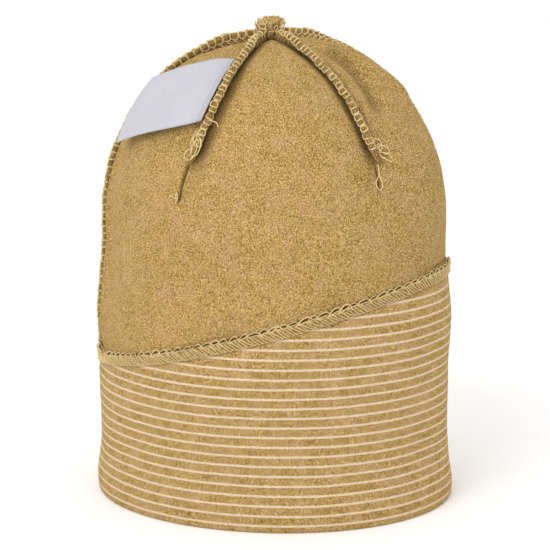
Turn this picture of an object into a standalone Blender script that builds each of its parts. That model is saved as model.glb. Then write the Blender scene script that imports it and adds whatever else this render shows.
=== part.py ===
"""A small child's jersey beanie, turned inside out and standing on its rim.

The crown is one layer of jersey whose six seams meet at the top. The seams were overlocked, so with
the hat inside out their allowances stand up as ridges. One seam, at the back, runs the whole height
of the crown. The other five are darts that end on the way down. The band is striped jersey folded
double at the rim and sewn to the crown along a slanted line, high at the front and low at the back.

Metres, +Z up. The origin is the middle of the rim's foot. The front of the hat faces -Y, and its back
seam is at +Y. Azimuths are measured round the hat from the front, positive towards +X.
"""

import math

import bmesh
import bpy
from mathutils import Vector

MM = 0.001
DEG = math.pi / 180

# Oval of the head, measured over the outside of the band
BAND_HALF_LENGTH = 77.2 * MM
BAND_HALF_WIDTH = 65.6 * MM

# Band, folded double: height of its needle line above the rim
BAND_FRONT_HEIGHT = 98.4 * MM
BAND_BACK_HEIGHT = 56.8 * MM
SEAM_BELLY = 1.5 * MM
BAND_THICKNESS = 2.4 * MM
RIM_ROUND = 0.8 * MM
RIM_FLARE = 1.9 * MM
RIM_FLARE_MIDDLE = 4.0 * MM
RIM_FLARE_REACH = 12.0 * MM
FRONT_BULGE = 1.7 * MM
BULGE_REACH = 22.0 * MM

# Crown, one layer
JERSEY = 1.4 * MM
CROWN_TOP = 197.5 * MM
DOME_BASE = 118.0 * MM
DOME_NARROWING = 2.6 * MM
DOME_LEAN = 3.0 * MM
DOME_FULLNESS_UP = 2.2
DOME_FULLNESS_OUT = 2.3
GORE_PUFF = 0.9 * MM
FRONT_PUFF = 2.4 * MM
FRONT_PUFF_WIDTH = 15.0 * MM
BACK_SLUMP = 2.6 * MM
VALLEY_DEPTH = 2.2 * MM
VALLEY_WIDTH = 4.6 * MM

# Overlocked allowances
BAND_ALLOWANCE = 6.0 * MM
BAND_ALLOWANCE_THICKNESS = 1.8 * MM
BAND_ALLOWANCE_LIFT = 0.3 * MM
RIDGE_HEIGHT = 4.9 * MM
RIDGE_THICKNESS = 3.0 * MM
RIDGE_CROWDING = 0.3 * MM
RIDGE_END_HEIGHT = 2.4 * MM
RIDGE_END_TAPER = 7.0 * MM
RIDGE_END_SHARE = 0.8
RIDGE_TURN = 0.7
BACK_SEAM_FOLD = 22.0 * MM
FOLDED_HEIGHT = 2.4 * MM
KNOT_HEIGHT = 9.3 * MM
KNOT_NECK = 10.4 * MM
KNOT_LENGTH = 12.2 * MM
KNOT_WIDTH = 10.8 * MM
KNOT_SHIFT = 1.2 * MM
KNOT_HEADING = 30 * DEG

# Woven label, caught in the right dart
LABEL_THICKNESS = 1.0 * MM
LABEL_SPRING = 4.8 * MM

GAP = 0.35 * MM
RIDGE_SEAT = 0.5 * MM
KNOT_SEAT = 0.7 * MM

GORES = 6
# Share of a gore's width at each mesh column, closer beside the seams
COLUMN_SHARES = (0.0, 0.036, 0.09, 0.19, 0.34, 0.5, 0.66, 0.81, 0.91, 0.964)
WALL_ROWS = 6
DOME_ROWS = 15

# Each dart: azimuth at the apex, how far round it has moved by its end, lean of its ridge, and the dome
# angle over which it leans down from the knot
DARTS = {
    "dart_right": {"azimuth": -96, "drift": -8.5, "lean": 33, "ease": 15},
    "dart_front_right": {"azimuth": -36, "drift": 3, "lean": -38, "ease": 15},
    "dart_front_left": {"azimuth": 24, "drift": 0, "lean": 60, "ease": 16},
    "dart_left": {"azimuth": 84, "drift": 0, "lean": 24, "ease": 20},
    "dart_back_left": {"azimuth": 144, "drift": 0, "lean": -28, "ease": 20},
}
DART_END_RISE = 23
BACK_AZIMUTH = -156
BACK_DRIFT = -6
BACK_LEAN = 36
BACK_EASE = 20
FOLDED_LEAN = 40
FRONT_PUFF_AZIMUTH = 6
FRONT_PUFF_RISE = 66
FRONT_PUFF_REACH = 26
RIDGE_START_RISE = 86.2

# Label from its sewn edge to its free edge: share of its spring off the crown, and the azimuth and dome
# angle of its lower and upper corners
LABEL_SECTIONS = (
    {"lift": 0.55, "low_azimuth": -97.2, "low_rise": 37.4, "high_azimuth": -97.0, "high_rise": 66.4},
    {"lift": 0.60, "low_azimuth": -102.6, "low_rise": 34.7, "high_azimuth": -105.5, "high_rise": 63.7},
    {"lift": 0.66, "low_azimuth": -108.7, "low_rise": 32.8, "high_azimuth": -113.3, "high_rise": 60.4},
    {"lift": 0.74, "low_azimuth": -115.6, "low_rise": 30.9, "high_azimuth": -122.4, "high_rise": 57.3},
    {"lift": 0.84, "low_azimuth": -124.8, "low_rise": 28.2, "high_azimuth": -132.1, "high_rise": 53.4},
    {"lift": 1.00, "low_azimuth": -136.5, "low_rise": 24.4, "high_azimuth": -143.3, "high_rise": 48.8},
)
LABEL_STEPS_PER_SECTION = 2
LABEL_STEPS_ACROSS = 5

OCHRE = (0.50, 0.33, 0.125, 1.0)
OCHRE_STRIPED = (0.54, 0.38, 0.18, 1.0)
OVERLOCK = (0.58, 0.44, 0.20, 1.0)
LABEL_WHITE = (0.80, 0.80, 0.84, 1.0)


def smooth(share):
    """Eases 0 to 1, flat at both ends."""
    share = min(max(share, 0.0), 1.0)
    return share * share * (3 - 2 * share)


def needle_height(azimuth):
    """Height of the line where band and crown are sewn together."""
    middle = (BAND_FRONT_HEIGHT + BAND_BACK_HEIGHT) / 2 - SEAM_BELLY
    slope = (BAND_FRONT_HEIGHT - BAND_BACK_HEIGHT) / 2
    return middle + slope * math.cos(azimuth) + SEAM_BELLY * math.cos(2 * azimuth)


def oval(azimuth, inset, scale=1.0):
    """Point of the head's oval in plan, its half axes made smaller by inset and then scaled."""
    return Vector((
        (BAND_HALF_WIDTH - inset) * scale * math.sin(azimuth),
        -(BAND_HALF_LENGTH - inset) * scale * math.cos(azimuth),
        0.0,
    ))


def outward(azimuth, rise=0.0):
    """Unit direction off the cloth: level on the wall, straight up at the apex."""
    plan = Vector((math.sin(azimuth) / BAND_HALF_WIDTH, -math.cos(azimuth) / BAND_HALF_LENGTH, 0.0))
    return plan.normalized() * math.cos(rise) + Vector((0.0, 0.0, math.sin(rise)))


def gore_azimuths():
    """Azimuth at the apex of every mesh column round the hat, from the back seam on."""
    gore = 2 * math.pi / GORES
    return [BACK_AZIMUTH * DEG + gore * (k + share) for k in range(GORES) for share in COLUMN_SHARES]


def nearest_seam(azimuth):
    """Azimuth of the crown seam nearest to an azimuth."""
    gore = 2 * math.pi / GORES
    return BACK_AZIMUTH * DEG + gore * round((azimuth - BACK_AZIMUTH * DEG) / gore)


def seam_drift(seam):
    """How far round the seam at an azimuth has moved by the height where the darts end."""
    for dart in DARTS.values():
        if math.cos(seam - dart["azimuth"] * DEG) > 0.999:
            return dart["drift"] * DEG
    return BACK_DRIFT * DEG


def drifted(azimuth, rise):
    """Azimuth moved along with the seams on either side of it. Below the darts it stays as it is."""
    gore = 2 * math.pi / GORES
    place = (azimuth - BACK_AZIMUTH * DEG) / gore
    before = math.floor(place + 1e-9)
    share = place - before
    first = seam_drift(BACK_AZIMUTH * DEG + gore * before)
    second = seam_drift(BACK_AZIMUTH * DEG + gore * (before + 1))
    reach = min((90 * DEG - rise) / (90 * DEG - DART_END_RISE * DEG), 1.0)
    return azimuth + (first * (1 - share) + second * share) * reach * reach


def valley(azimuth, rise, radius):
    """How deep the cloth is pulled in beside the nearest seam."""
    seam = nearest_seam(azimuth)
    if math.cos(seam - BACK_AZIMUTH * DEG) > 0.999:
        depth = 0.35 + 0.65 * smooth(rise / (60 * DEG))
    else:
        depth = smooth((rise - DART_END_RISE * DEG) / (16 * DEG) + 0.6)
    beside = (azimuth - seam) * radius / VALLEY_WIDTH
    return VALLEY_DEPTH * depth * math.exp(-beside * beside)


def crown_point(azimuth, rise, height=None, inset=0.0, lift=0.0):
    """Point of the crown's outer face, or one inset behind it or lifted off it.

    Below the dome's base rise is 0 and height says where the point is.
    """
    climb = math.sin(rise) ** (2 / DOME_FULLNESS_UP)
    spread = max(math.cos(rise), 0.0) ** (2 / DOME_FULLNESS_OUT)
    turned = drifted(azimuth, rise)
    up_wall = 1.0
    if height is None:
        height = DOME_BASE + (CROWN_TOP - inset - DOME_BASE) * climb
    else:
        up_wall = smooth((height - needle_height(turned)) / (DOME_BASE - needle_height(turned)))
    wall_inset = BAND_THICKNESS - JERSEY
    point = oval(turned, wall_inset + inset + DOME_NARROWING * up_wall, spread)
    radius = point.length
    gore_share = ((azimuth - BACK_AZIMUTH * DEG) * GORES / (2 * math.pi)) % 1.0
    puff = GORE_PUFF * math.sin(math.pi * gore_share) ** 2 * math.sin(2 * rise)
    off_crest = math.remainder(turned - FRONT_PUFF_AZIMUTH * DEG, 2 * math.pi) * radius / FRONT_PUFF_WIDTH
    off_top = (rise / DEG - FRONT_PUFF_RISE) / FRONT_PUFF_REACH
    puff += FRONT_PUFF * math.exp(-off_crest * off_crest - off_top * off_top)
    slump = BACK_SLUMP * (1 - math.cos(turned)) / 2 * math.sin(2 * rise) ** 2
    point.z = height
    point.y -= DOME_LEAN * up_wall * math.cos(rise) ** 2
    return point + outward(turned, rise) * (puff + lift - slump - valley(azimuth, rise, radius))


def crown_rows(azimuth):
    """(rise, height) of each mesh row of the crown from the needle line to just below the apex."""
    foot = needle_height(drifted(azimuth, 0.0)) + GAP / 2
    wall = [(0.0, foot + (DOME_BASE - foot) * k / WALL_ROWS) for k in range(WALL_ROWS)]
    dome = [(90 * DEG * k / DOME_ROWS, None) for k in range(DOME_ROWS)]
    return wall + dome


def band_outside(azimuth, height):
    """How far the band's outer face stands off the head's oval at a height."""
    above_flare = (height - RIM_FLARE_MIDDLE) / RIM_FLARE_REACH
    to_front = (1 + math.cos(azimuth)) / 2
    below_seam = (needle_height(azimuth) - height - BULGE_REACH / 2) / BULGE_REACH
    bulge = FRONT_BULGE * to_front * (math.exp(-below_seam * below_seam) - math.exp(-0.25))
    return RIM_FLARE * math.exp(-above_flare * above_flare) + max(bulge, 0.0)


def new_object(name, mesh_builder, material):
    """Makes one named object from a function that fills a bmesh."""
    shape = bmesh.new()
    mesh_builder(shape)
    bmesh.ops.recalc_face_normals(shape, faces=shape.faces)
    mesh = bpy.data.meshes.new(name)
    shape.to_mesh(mesh)
    shape.free()
    mesh.materials.append(material)
    mesh.shade_smooth()
    mesh.set_sharp_from_angle(angle=50 * DEG)
    piece = bpy.data.objects.new(name, mesh)
    bpy.context.scene.collection.objects.link(piece)
    return piece


def cloth_material(name, colour, roughness):
    """A plain matt material for one kind of cloth."""
    material = bpy.data.materials.new(name)
    material.use_nodes = True
    surface = material.node_tree.nodes["Principled BSDF"]
    surface.inputs["Base Color"].default_value = colour
    surface.inputs["Roughness"].default_value = roughness
    surface.inputs["Metallic"].default_value = 0.0
    material.diffuse_color = colour
    return material


def skin(shape, rings, closed_round, close_across):
    """Joins rings of points with quads. Rings follow each other; each ring may close on itself."""
    made = [[shape.verts.new(point) for point in ring] for ring in rings]
    pairs = list(zip(made, made[1:]))
    if closed_round:
        pairs.append((made[-1], made[0]))
    for first, second in pairs:
        count = len(first)
        for k in range(count if close_across else count - 1):
            j = (k + 1) % count
            shape.faces.new((first[k], first[j], second[j], second[k]))
    return made


def crown_builder(shape):
    """The crown: an outer and an inner face, joined along the needle line and open below."""
    azimuths = gore_azimuths()
    faces = []
    for inset in (0.0, JERSEY):
        rings = []
        for azimuth in azimuths:
            rings.append([crown_point(azimuth, rise, height, inset) for rise, height in crown_rows(azimuth)])
        made = skin(shape, rings, closed_round=True, close_across=False)
        apex = shape.verts.new(crown_point(azimuths[0], 90 * DEG, None, inset))
        for first, second in zip(made, made[1:] + made[:1]):
            shape.faces.new((first[-1], apex, second[-1]))
        faces.append(made)
    outer, inner = faces
    for k in range(len(azimuths)):
        j = (k + 1) % len(azimuths)
        shape.faces.new((outer[k][0], outer[j][0], inner[j][0], inner[k][0]))


def band_section(azimuth):
    """Points round the band's wall at one azimuth: down the outer face, round the fold, up the inner."""
    top = needle_height(azimuth) - GAP / 2
    shares = (1.0, 0.88, 0.74, 0.58, 0.42, 0.27, 0.14)
    fold = 0.05
    outer = [(band_outside(azimuth, top * s), top * s) for s in shares + (fold,)]
    foot = band_outside(azimuth, 0.0)
    inner = [(stand - BAND_THICKNESS, height) for stand, height in reversed(outer)]
    rim = [
        (foot - 0.25 * RIM_ROUND, 0.45 * RIM_ROUND),
        (foot - RIM_ROUND, 0.0),
        (foot - BAND_THICKNESS + RIM_ROUND, 0.0),
        (foot - BAND_THICKNESS + 0.25 * RIM_ROUND, 0.45 * RIM_ROUND),
    ]
    points = []
    for stand, height in outer + rim + inner:
        point = oval(azimuth, 0.0) + outward(azimuth) * stand
        point.z = height
        points.append(point)
    return points


def band_builder(shape):
    """The band: striped jersey folded double, standing on its fold."""
    skin(shape, [band_section(drifted(azimuth, 0.0)) for azimuth in gore_azimuths()], True, True)


def allowance_section(azimuth):
    """Points round the band seam's allowance, which leans up against the crown from the needle line."""
    foot = needle_height(azimuth) + GAP / 2
    inner = BAND_THICKNESS - JERSEY - GAP
    thick = BAND_ALLOWANCE_THICKNESS
    shape_table = (
        {"across": 0.00, "up": 0.00},
        {"across": 0.92, "up": 0.00},
        {"across": 1.10, "up": 0.35},
        {"across": 1.12, "up": 0.75},
        {"across": 0.85, "up": 1.00},
        {"across": 0.25, "up": 1.00},
        {"across": 0.00, "up": 0.80},
    )
    points = []
    for row in shape_table:
        lean = BAND_ALLOWANCE_LIFT * row["up"]
        stand = -inner + lean + row["across"] * thick
        point = oval(azimuth, 0.0) + outward(azimuth) * stand
        point.z = foot + BAND_ALLOWANCE * row["up"]
        points.append(point)
    return points


def allowance_builder(shape):
    """The overlocked allowance of the seam between band and crown."""
    skin(shape, [allowance_section(drifted(azimuth, 0.0)) for azimuth in gore_azimuths()], True, True)


# Outline of a standing allowance, as shares of its thickness and height
RIDGE_OUTLINE = (
    {"across": 0.00, "up": 0.00},
    {"across": 0.50, "up": 0.10},
    {"across": 0.46, "up": 0.45},
    {"across": 0.56, "up": 0.78},
    {"across": 0.42, "up": 1.00},
    {"across": -0.42, "up": 1.00},
    {"across": -0.56, "up": 0.78},
    {"across": -0.46, "up": 0.45},
    {"across": -0.50, "up": 0.10},
)


def ridge_rings(stations):
    """Rings of points round a standing allowance. Each station has a foot, an up and a side direction,
    a height and a lean angle."""
    rings = []
    for station in stations:
        lean = station["lean"]
        leaned = station["up"] * math.cos(lean) + station["side"] * math.sin(lean)
        ring = []
        for corner in RIDGE_OUTLINE:
            turn = lean * corner["up"] * RIDGE_TURN
            level = station["side"] * math.cos(turn) - station["up"] * math.sin(turn)
            across = corner["across"] * RIDGE_THICKNESS * station["thickness"]
            ring.append(station["foot"] + leaned * corner["up"] * station["height"] + level * across)
        rings.append(ring)
    return rings


def ridge_builder(stations):
    """Returns a function that fills a bmesh with the ridge that runs through the stations."""
    def build(shape):
        made = skin(shape, ridge_rings(stations), closed_round=False, close_across=True)
        shape.faces.new(made[0])
        shape.faces.new(made[-1])
    return build


def ridge_station(azimuth, rise, height_on_wall, ridge_height, lean, thickness=1.0):
    """One station of a ridge that stands on the crown's outer face."""
    turned = drifted(azimuth, rise)
    up = outward(turned, rise)
    side = Vector((math.cos(turned), math.sin(turned), 0.0))
    foot = crown_point(azimuth, rise, height_on_wall, lift=RIDGE_SEAT)
    return {"foot": foot, "up": up, "side": side, "height": ridge_height, "lean": lean, "thickness": thickness}


def crowding(rise):
    """Extra height of a ridge where all the allowances crowd together below the knot."""
    return RIDGE_CROWDING * smooth((rise - 66 * DEG) / (20 * DEG))


def dome_rises(end):
    """Dome angles of the mesh rows from where the ridges start, below the knot, down to an end."""
    rows = [90 * DEG * k / DOME_ROWS for k in range(DOME_ROWS - 1, -1, -1)]
    return [RIDGE_START_RISE * DEG] + [r for r in rows if end + 1 * DEG < r < RIDGE_START_RISE * DEG - 1 * DEG]


def dart_stations(dart):
    """Stations of a dart's ridge from below the knot to where it runs out."""
    end = DART_END_RISE * DEG
    rises = dome_rises(end)
    rises += [end + 4 * DEG, end + 1.5 * DEG, end]
    stations = []
    for rise in rises:
        left_to_run = (rise - end) * (CROWN_TOP - DOME_BASE)
        share = smooth(left_to_run / RIDGE_END_TAPER)
        height = RIDGE_END_HEIGHT + (RIDGE_HEIGHT + crowding(rise) - RIDGE_END_HEIGHT) * share
        lean = dart["lean"] * DEG * smooth((RIDGE_START_RISE - rise / DEG) / dart["ease"])
        thickness = RIDGE_END_SHARE + (1 - RIDGE_END_SHARE) * share
        stations.append(ridge_station(dart["azimuth"] * DEG, rise, None, height, lean, thickness))
    return stations


def back_stations():
    """Stations of the back seam's ridge from below the knot down to the band's allowance."""
    azimuth = BACK_AZIMUTH * DEG
    foot = needle_height(drifted(azimuth, 0.0)) + BAND_ALLOWANCE + 2 * GAP
    stations = []
    for rise in dome_rises(0.0):
        lean = BACK_LEAN * DEG * smooth((RIDGE_START_RISE - rise / DEG) / BACK_EASE)
        stations.append(ridge_station(azimuth, rise, None, RIDGE_HEIGHT + crowding(rise), lean))
    wall = [height for rise, height in crown_rows(azimuth) if height and height > foot + 2 * MM][::-1]
    for height in [DOME_BASE] + wall + [foot]:
        folded = 1 - smooth((height - foot) / BACK_SEAM_FOLD)
        lean = (BACK_LEAN + (FOLDED_LEAN - BACK_LEAN) * folded) * DEG
        ridge_height = RIDGE_HEIGHT + (FOLDED_HEIGHT - RIDGE_HEIGHT) * folded
        stations.append(ridge_station(azimuth, 0.0, height, ridge_height, lean))
    return stations


# Knot from the crown up: share of its height, shares of its length and width, share of its shift
KNOT_SECTIONS = (
    {"up": 0.00, "neck": 0.60, "head": 0.00, "shift": 0.0},
    {"up": 0.12, "neck": 0.80, "head": 0.00, "shift": 0.0},
    {"up": 0.30, "neck": 0.98, "head": 0.00, "shift": 0.0},
    {"up": 0.56, "neck": 1.00, "head": 0.00, "shift": 0.1},
    {"up": 0.63, "neck": 0.00, "head": 0.95, "shift": 0.4},
    {"up": 0.76, "neck": 0.00, "head": 1.00, "shift": 0.8},
    {"up": 0.90, "neck": 0.00, "head": 0.85, "shift": 1.0},
    {"up": 1.00, "neck": 0.00, "head": 0.55, "shift": 1.0},
)
KNOT_SIDES = 12


def knot_builder(shape):
    """The lump where all six allowances cross: a neck between their ends and a head that lies over them."""
    along = Vector((math.sin(KNOT_HEADING), -math.cos(KNOT_HEADING), 0.0))
    side = Vector((math.cos(KNOT_HEADING), math.sin(KNOT_HEADING), 0.0))
    foot = crown_point(BACK_AZIMUTH * DEG, 90 * DEG, None, lift=KNOT_SEAT)
    rings = []
    for row in KNOT_SECTIONS:
        centre = foot + along * KNOT_SHIFT * row["shift"] + Vector((0, 0, row["up"] * KNOT_HEIGHT))
        length = KNOT_NECK * row["neck"] + KNOT_LENGTH * row["head"]
        width = KNOT_NECK * row["neck"] + KNOT_WIDTH * row["head"]
        ring = []
        for k in range(KNOT_SIDES):
            turn = 2 * math.pi * k / KNOT_SIDES
            forward = along * length / 2 * math.cos(turn)
            ring.append(centre + forward + side * width / 2 * math.sin(turn))
        rings.append(ring)
    made = skin(shape, rings, closed_round=False, close_across=True)
    shape.faces.new(made[0])
    shape.faces.new(made[-1])


def between(first, second, share):
    """A table row between two others."""
    return {name: first[name] + (second[name] - first[name]) * share for name in first}


def label_rows():
    """The label's sections with the ones between them."""
    rows = []
    for first, second in zip(LABEL_SECTIONS, LABEL_SECTIONS[1:]):
        rows += [between(first, second, k / LABEL_STEPS_PER_SECTION) for k in range(LABEL_STEPS_PER_SECTION)]
    return rows + [LABEL_SECTIONS[-1]]


def label_builder(shape):
    """The woven label: a thin sheet that leaves the dart's ridge and springs clear of the crown."""
    rings = []
    for row in label_rows():
        front, back = [], []
        for k in range(LABEL_STEPS_ACROSS + 1):
            share = k / LABEL_STEPS_ACROSS
            azimuth = row["low_azimuth"] + (row["high_azimuth"] - row["low_azimuth"]) * share
            rise = row["low_rise"] + (row["high_rise"] - row["low_rise"]) * share
            lift = row["lift"] * LABEL_SPRING
            front.append(crown_point(azimuth * DEG, rise * DEG, None, lift=lift + LABEL_THICKNESS))
            back.append(crown_point(azimuth * DEG, rise * DEG, None, lift=lift))
        rings.append(front + back[::-1])
    made = skin(shape, rings, closed_round=False, close_across=True)
    shape.faces.new(made[0])
    shape.faces.new(made[-1])


def main():
    """Builds the beanie in an empty scene."""
    for old in list(bpy.data.objects):
        bpy.data.objects.remove(old, do_unlink=True)
    ochre = cloth_material("ochre_jersey", OCHRE, 0.95)
    striped = cloth_material("striped_jersey", OCHRE_STRIPED, 0.95)
    overlock = cloth_material("overlock_thread", OVERLOCK, 0.85)
    label = cloth_material("label_ribbon", LABEL_WHITE, 0.6)
    new_object("crown", crown_builder, ochre)
    new_object("band", band_builder, striped)
    new_object("band_seam", allowance_builder, overlock)
    new_object("back_seam", ridge_builder(back_stations()), overlock)
    for name, dart in DARTS.items():
        new_object(name, ridge_builder(dart_stations(dart)), overlock)
    new_object("seam_knot", knot_builder, overlock)
    new_object("label", label_builder, label)


main()
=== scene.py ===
"""Dresses a small child's jersey beanie, which stands inside out on its rim, for its picture.

Cloth, overlock threads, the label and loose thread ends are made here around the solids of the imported
part, in metres and in the part's own frame: +Z up, the hat's front at -Y, azimuths measured from the
front and positive towards +X.
"""

import math

import bmesh
import bpy
import numpy as np
from mathutils import Matrix, Vector


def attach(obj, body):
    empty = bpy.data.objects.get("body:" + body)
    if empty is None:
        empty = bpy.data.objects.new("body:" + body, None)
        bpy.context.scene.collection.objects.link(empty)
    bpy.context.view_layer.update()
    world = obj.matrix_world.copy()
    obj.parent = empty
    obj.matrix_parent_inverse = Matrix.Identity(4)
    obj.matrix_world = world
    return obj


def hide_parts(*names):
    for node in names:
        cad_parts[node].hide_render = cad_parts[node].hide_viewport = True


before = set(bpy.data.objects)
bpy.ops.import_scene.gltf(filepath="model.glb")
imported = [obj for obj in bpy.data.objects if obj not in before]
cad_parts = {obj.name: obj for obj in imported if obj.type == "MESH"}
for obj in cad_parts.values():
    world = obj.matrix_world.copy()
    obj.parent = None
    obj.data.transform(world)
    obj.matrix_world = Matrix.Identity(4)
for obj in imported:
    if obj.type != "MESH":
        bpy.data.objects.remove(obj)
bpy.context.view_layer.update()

bl_info = {
    "name": "Jersey beanie",
    "version": (1, 0, 0),
    "blender": (4, 5, 0),
    "location": "3D View > Sidebar > Beanie",
    "description": "Makes the cloth, seams, label and threads of an inside-out beanie",
    "category": "Add Mesh",
}

BODY = "root"
MM = 0.001
DEG = math.pi / 180

# The hat's own sizes, the same as the solids'
BAND_HALF_LENGTH = 77.2 * MM
BAND_HALF_WIDTH = 65.6 * MM
BAND_FRONT_HEIGHT = 98.4 * MM
BAND_BACK_HEIGHT = 56.8 * MM
SEAM_BELLY = 1.5 * MM
BAND_THICKNESS = 2.4 * MM
RIM_FLARE = 1.9 * MM
RIM_FLARE_MIDDLE = 4.0 * MM
RIM_FLARE_REACH = 12.0 * MM
FRONT_BULGE = 1.7 * MM
BULGE_REACH = 22.0 * MM
JERSEY = 1.4 * MM
CROWN_TOP = 197.5 * MM
DOME_BASE = 118.0 * MM
DOME_NARROWING = 2.6 * MM
DOME_LEAN = 3.0 * MM
DOME_FULLNESS_UP = 2.2
DOME_FULLNESS_OUT = 2.3
GORE_PUFF = 0.9 * MM
FRONT_PUFF = 2.4 * MM
FRONT_PUFF_WIDTH = 15.0 * MM
BACK_SLUMP = 2.6 * MM
VALLEY_DEPTH = 2.2 * MM
VALLEY_WIDTH = 4.6 * MM
BACK_VALLEY_SHARE = 0.35
BACK_VALLEY_RISE = 60
DART_VALLEY_SPAN = 16
DART_VALLEY_START = 0.6
BAND_ALLOWANCE = 6.0 * MM
RIDGE_HEIGHT = 4.9 * MM
RIDGE_THICKNESS = 3.0 * MM
RIDGE_CROWDING = 0.3 * MM
RIDGE_CROWDING_RISE = 66
RIDGE_CROWDING_SPAN = 20
RIDGE_END_HEIGHT = 2.4 * MM
RIDGE_END_TAPER = 7.0 * MM
RIDGE_END_SHARE = 0.8
RIDGE_START_RISE = 86.2
DART_END_RISE = 23
BACK_SEAM_FOLD = 22.0 * MM
FOLDED_LEAN = 40
FOLDED_HEIGHT = 2.4 * MM
KNOT_HEIGHT = 9.3 * MM
KNOT_NECK = 10.4 * MM
KNOT_LENGTH = 12.2 * MM
KNOT_WIDTH = 10.8 * MM
KNOT_SHIFT = 1.2 * MM
KNOT_HEADING = 30 * DEG
LABEL_SPRING = 4.8 * MM
LABEL_THICKNESS = 0.45 * MM
GAP = 0.35 * MM
RIDGE_SEAT = 0.5 * MM
KNOT_SEAT = 0.7 * MM
FRONT_PUFF_AZIMUTH = 6
FRONT_PUFF_RISE = 66
FRONT_PUFF_REACH = 26

# The crown's seams in order round the knot, in degrees: azimuth at the top, drift by the lower end, the lean
# of the ridge and the stretch of dome over which it leans over
SEAMS = {
    "back_seam": {"azimuth": -156, "drift": -6, "lean": 36, "ease": 20},
    "dart_right": {"azimuth": -96, "drift": -8.5, "lean": 33, "ease": 15},
    "dart_front_right": {"azimuth": -36, "drift": 3, "lean": -38, "ease": 15},
    "dart_front_left": {"azimuth": 24, "drift": 0, "lean": 60, "ease": 16},
    "dart_left": {"azimuth": 84, "drift": 0, "lean": 24, "ease": 20},
    "dart_back_left": {"azimuth": 144, "drift": 0, "lean": -28, "ease": 20},
}
GORES = len(SEAMS)
GORE = 2 * math.pi / GORES
BACK_AZIMUTH = SEAMS["back_seam"]["azimuth"] * DEG
DRIFTS = np.array([seam["drift"] * DEG for seam in SEAMS.values()])
LEANS = np.array([seam["lean"] for seam in SEAMS.values()])

# The cloth's softer forms, which only the scene has, and the SHELTER and OPEN_SIDE sizes of the painted
# shade beside the ridges
BAND_BAG = 1.5 * MM
BAG_AZIMUTH = 15
BAG_DROP = 20 * MM
BAG_REACH = 13 * MM
SHELTER_PAINTED_SHADE = 0.62
SHELTER_MIDDLE = 3.6 * MM
SHELTER_RISE = 9 * MM
SHELTER_WIDTH = 2.0 * MM
OPEN_SIDE_SHARE = 0.6
OPEN_SIDE_WIDTH = 2.4 * MM
BACK_ROLL_LOW = 2.7 * MM
BACK_ROLL_HIGH = 0.9 * MM
BACK_ROLL_PLACE = 5.6 * MM
BACK_ROLL_WIDTH = 3.2 * MM
SEAM_CROWDING = 0.62
PUCKER = 0.22 * MM
PUCKER_LENGTH = 1.15 * MM
PUCKER_REACH = 5 * MM
CROWN_GATHERS = 0.18 * MM
CROWN_GATHERS_REACH = 9 * MM
BAND_GATHERS = 0.16 * MM
BAND_GATHERS_DROP = 6 * MM
BAND_GATHERS_REACH = 5 * MM
BACK_SWELL = 1.2 * MM
BACK_SWELL_RISE = 54
BACK_SWELL_REACH = 26
CLOTH_SINK = 0.25 * MM
FRONT_LEFT_DROP = 0.9 * MM
FRONT_LEFT_DROP_RISE = 70
FRONT_LEFT_DROP_SPAN = 10

# The label's sections from its sewn edge to its free end: share of its spring, and the places of its lower
# and its upper edge on the crown, in degrees
LABEL_SECTIONS = (
    {"lift": 0.55, "low_azimuth": -97.2, "low_rise": 37.4, "high_azimuth": -97.0, "high_rise": 66.4},
    {"lift": 0.60, "low_azimuth": -102.6, "low_rise": 34.7, "high_azimuth": -105.5, "high_rise": 63.7},
    {"lift": 0.66, "low_azimuth": -108.7, "low_rise": 32.8, "high_azimuth": -113.3, "high_rise": 60.4},
    {"lift": 0.74, "low_azimuth": -115.6, "low_rise": 30.9, "high_azimuth": -122.4, "high_rise": 57.3},
    {"lift": 0.84, "low_azimuth": -124.8, "low_rise": 28.2, "high_azimuth": -132.1, "high_rise": 53.4},
    {"lift": 1.00, "low_azimuth": -136.5, "low_rise": 24.4, "high_azimuth": -143.3, "high_rise": 48.8},
)

# The knot's sections from its foot to its top, as shares of its height, of its neck's and of its head's girth,
# and of its shift
KNOT_SECTIONS = (
    {"up": 0.00, "neck": 0.60, "head": 0.00, "shift": 0.0},
    {"up": 0.12, "neck": 0.80, "head": 0.00, "shift": 0.0},
    {"up": 0.30, "neck": 0.98, "head": 0.00, "shift": 0.0},
    {"up": 0.56, "neck": 1.00, "head": 0.00, "shift": 0.1},
    {"up": 0.63, "neck": 0.00, "head": 0.95, "shift": 0.4},
    {"up": 0.76, "neck": 0.00, "head": 1.00, "shift": 0.8},
    {"up": 0.90, "neck": 0.00, "head": 0.85, "shift": 1.0},
    {"up": 1.00, "neck": 0.00, "head": 0.55, "shift": 1.0},
)


def linear(red, green, blue):
    """A linear colour from one read off a screen, 0 to 255."""
    shares = [value / 255 for value in (red, green, blue)]
    return tuple(v / 12.92 if v <= 0.04045 else ((v + 0.055) / 1.055) ** 2.4 for v in shares)


def colour_setting(name, description, red, green, blue):
    """A colour that a user may change, given as it reads off a screen."""
    return bpy.props.FloatVectorProperty(
        name=name, description=description, default=linear(red, green, blue), subtype="COLOR", min=0, max=1)


def length_setting(name, description, default, least=0.0):
    """A length that a user may change, down to the least that the piece can take."""
    return bpy.props.FloatProperty(
        name=name, description=description, default=default, min=least, unit="LENGTH", precision=5)


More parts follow.
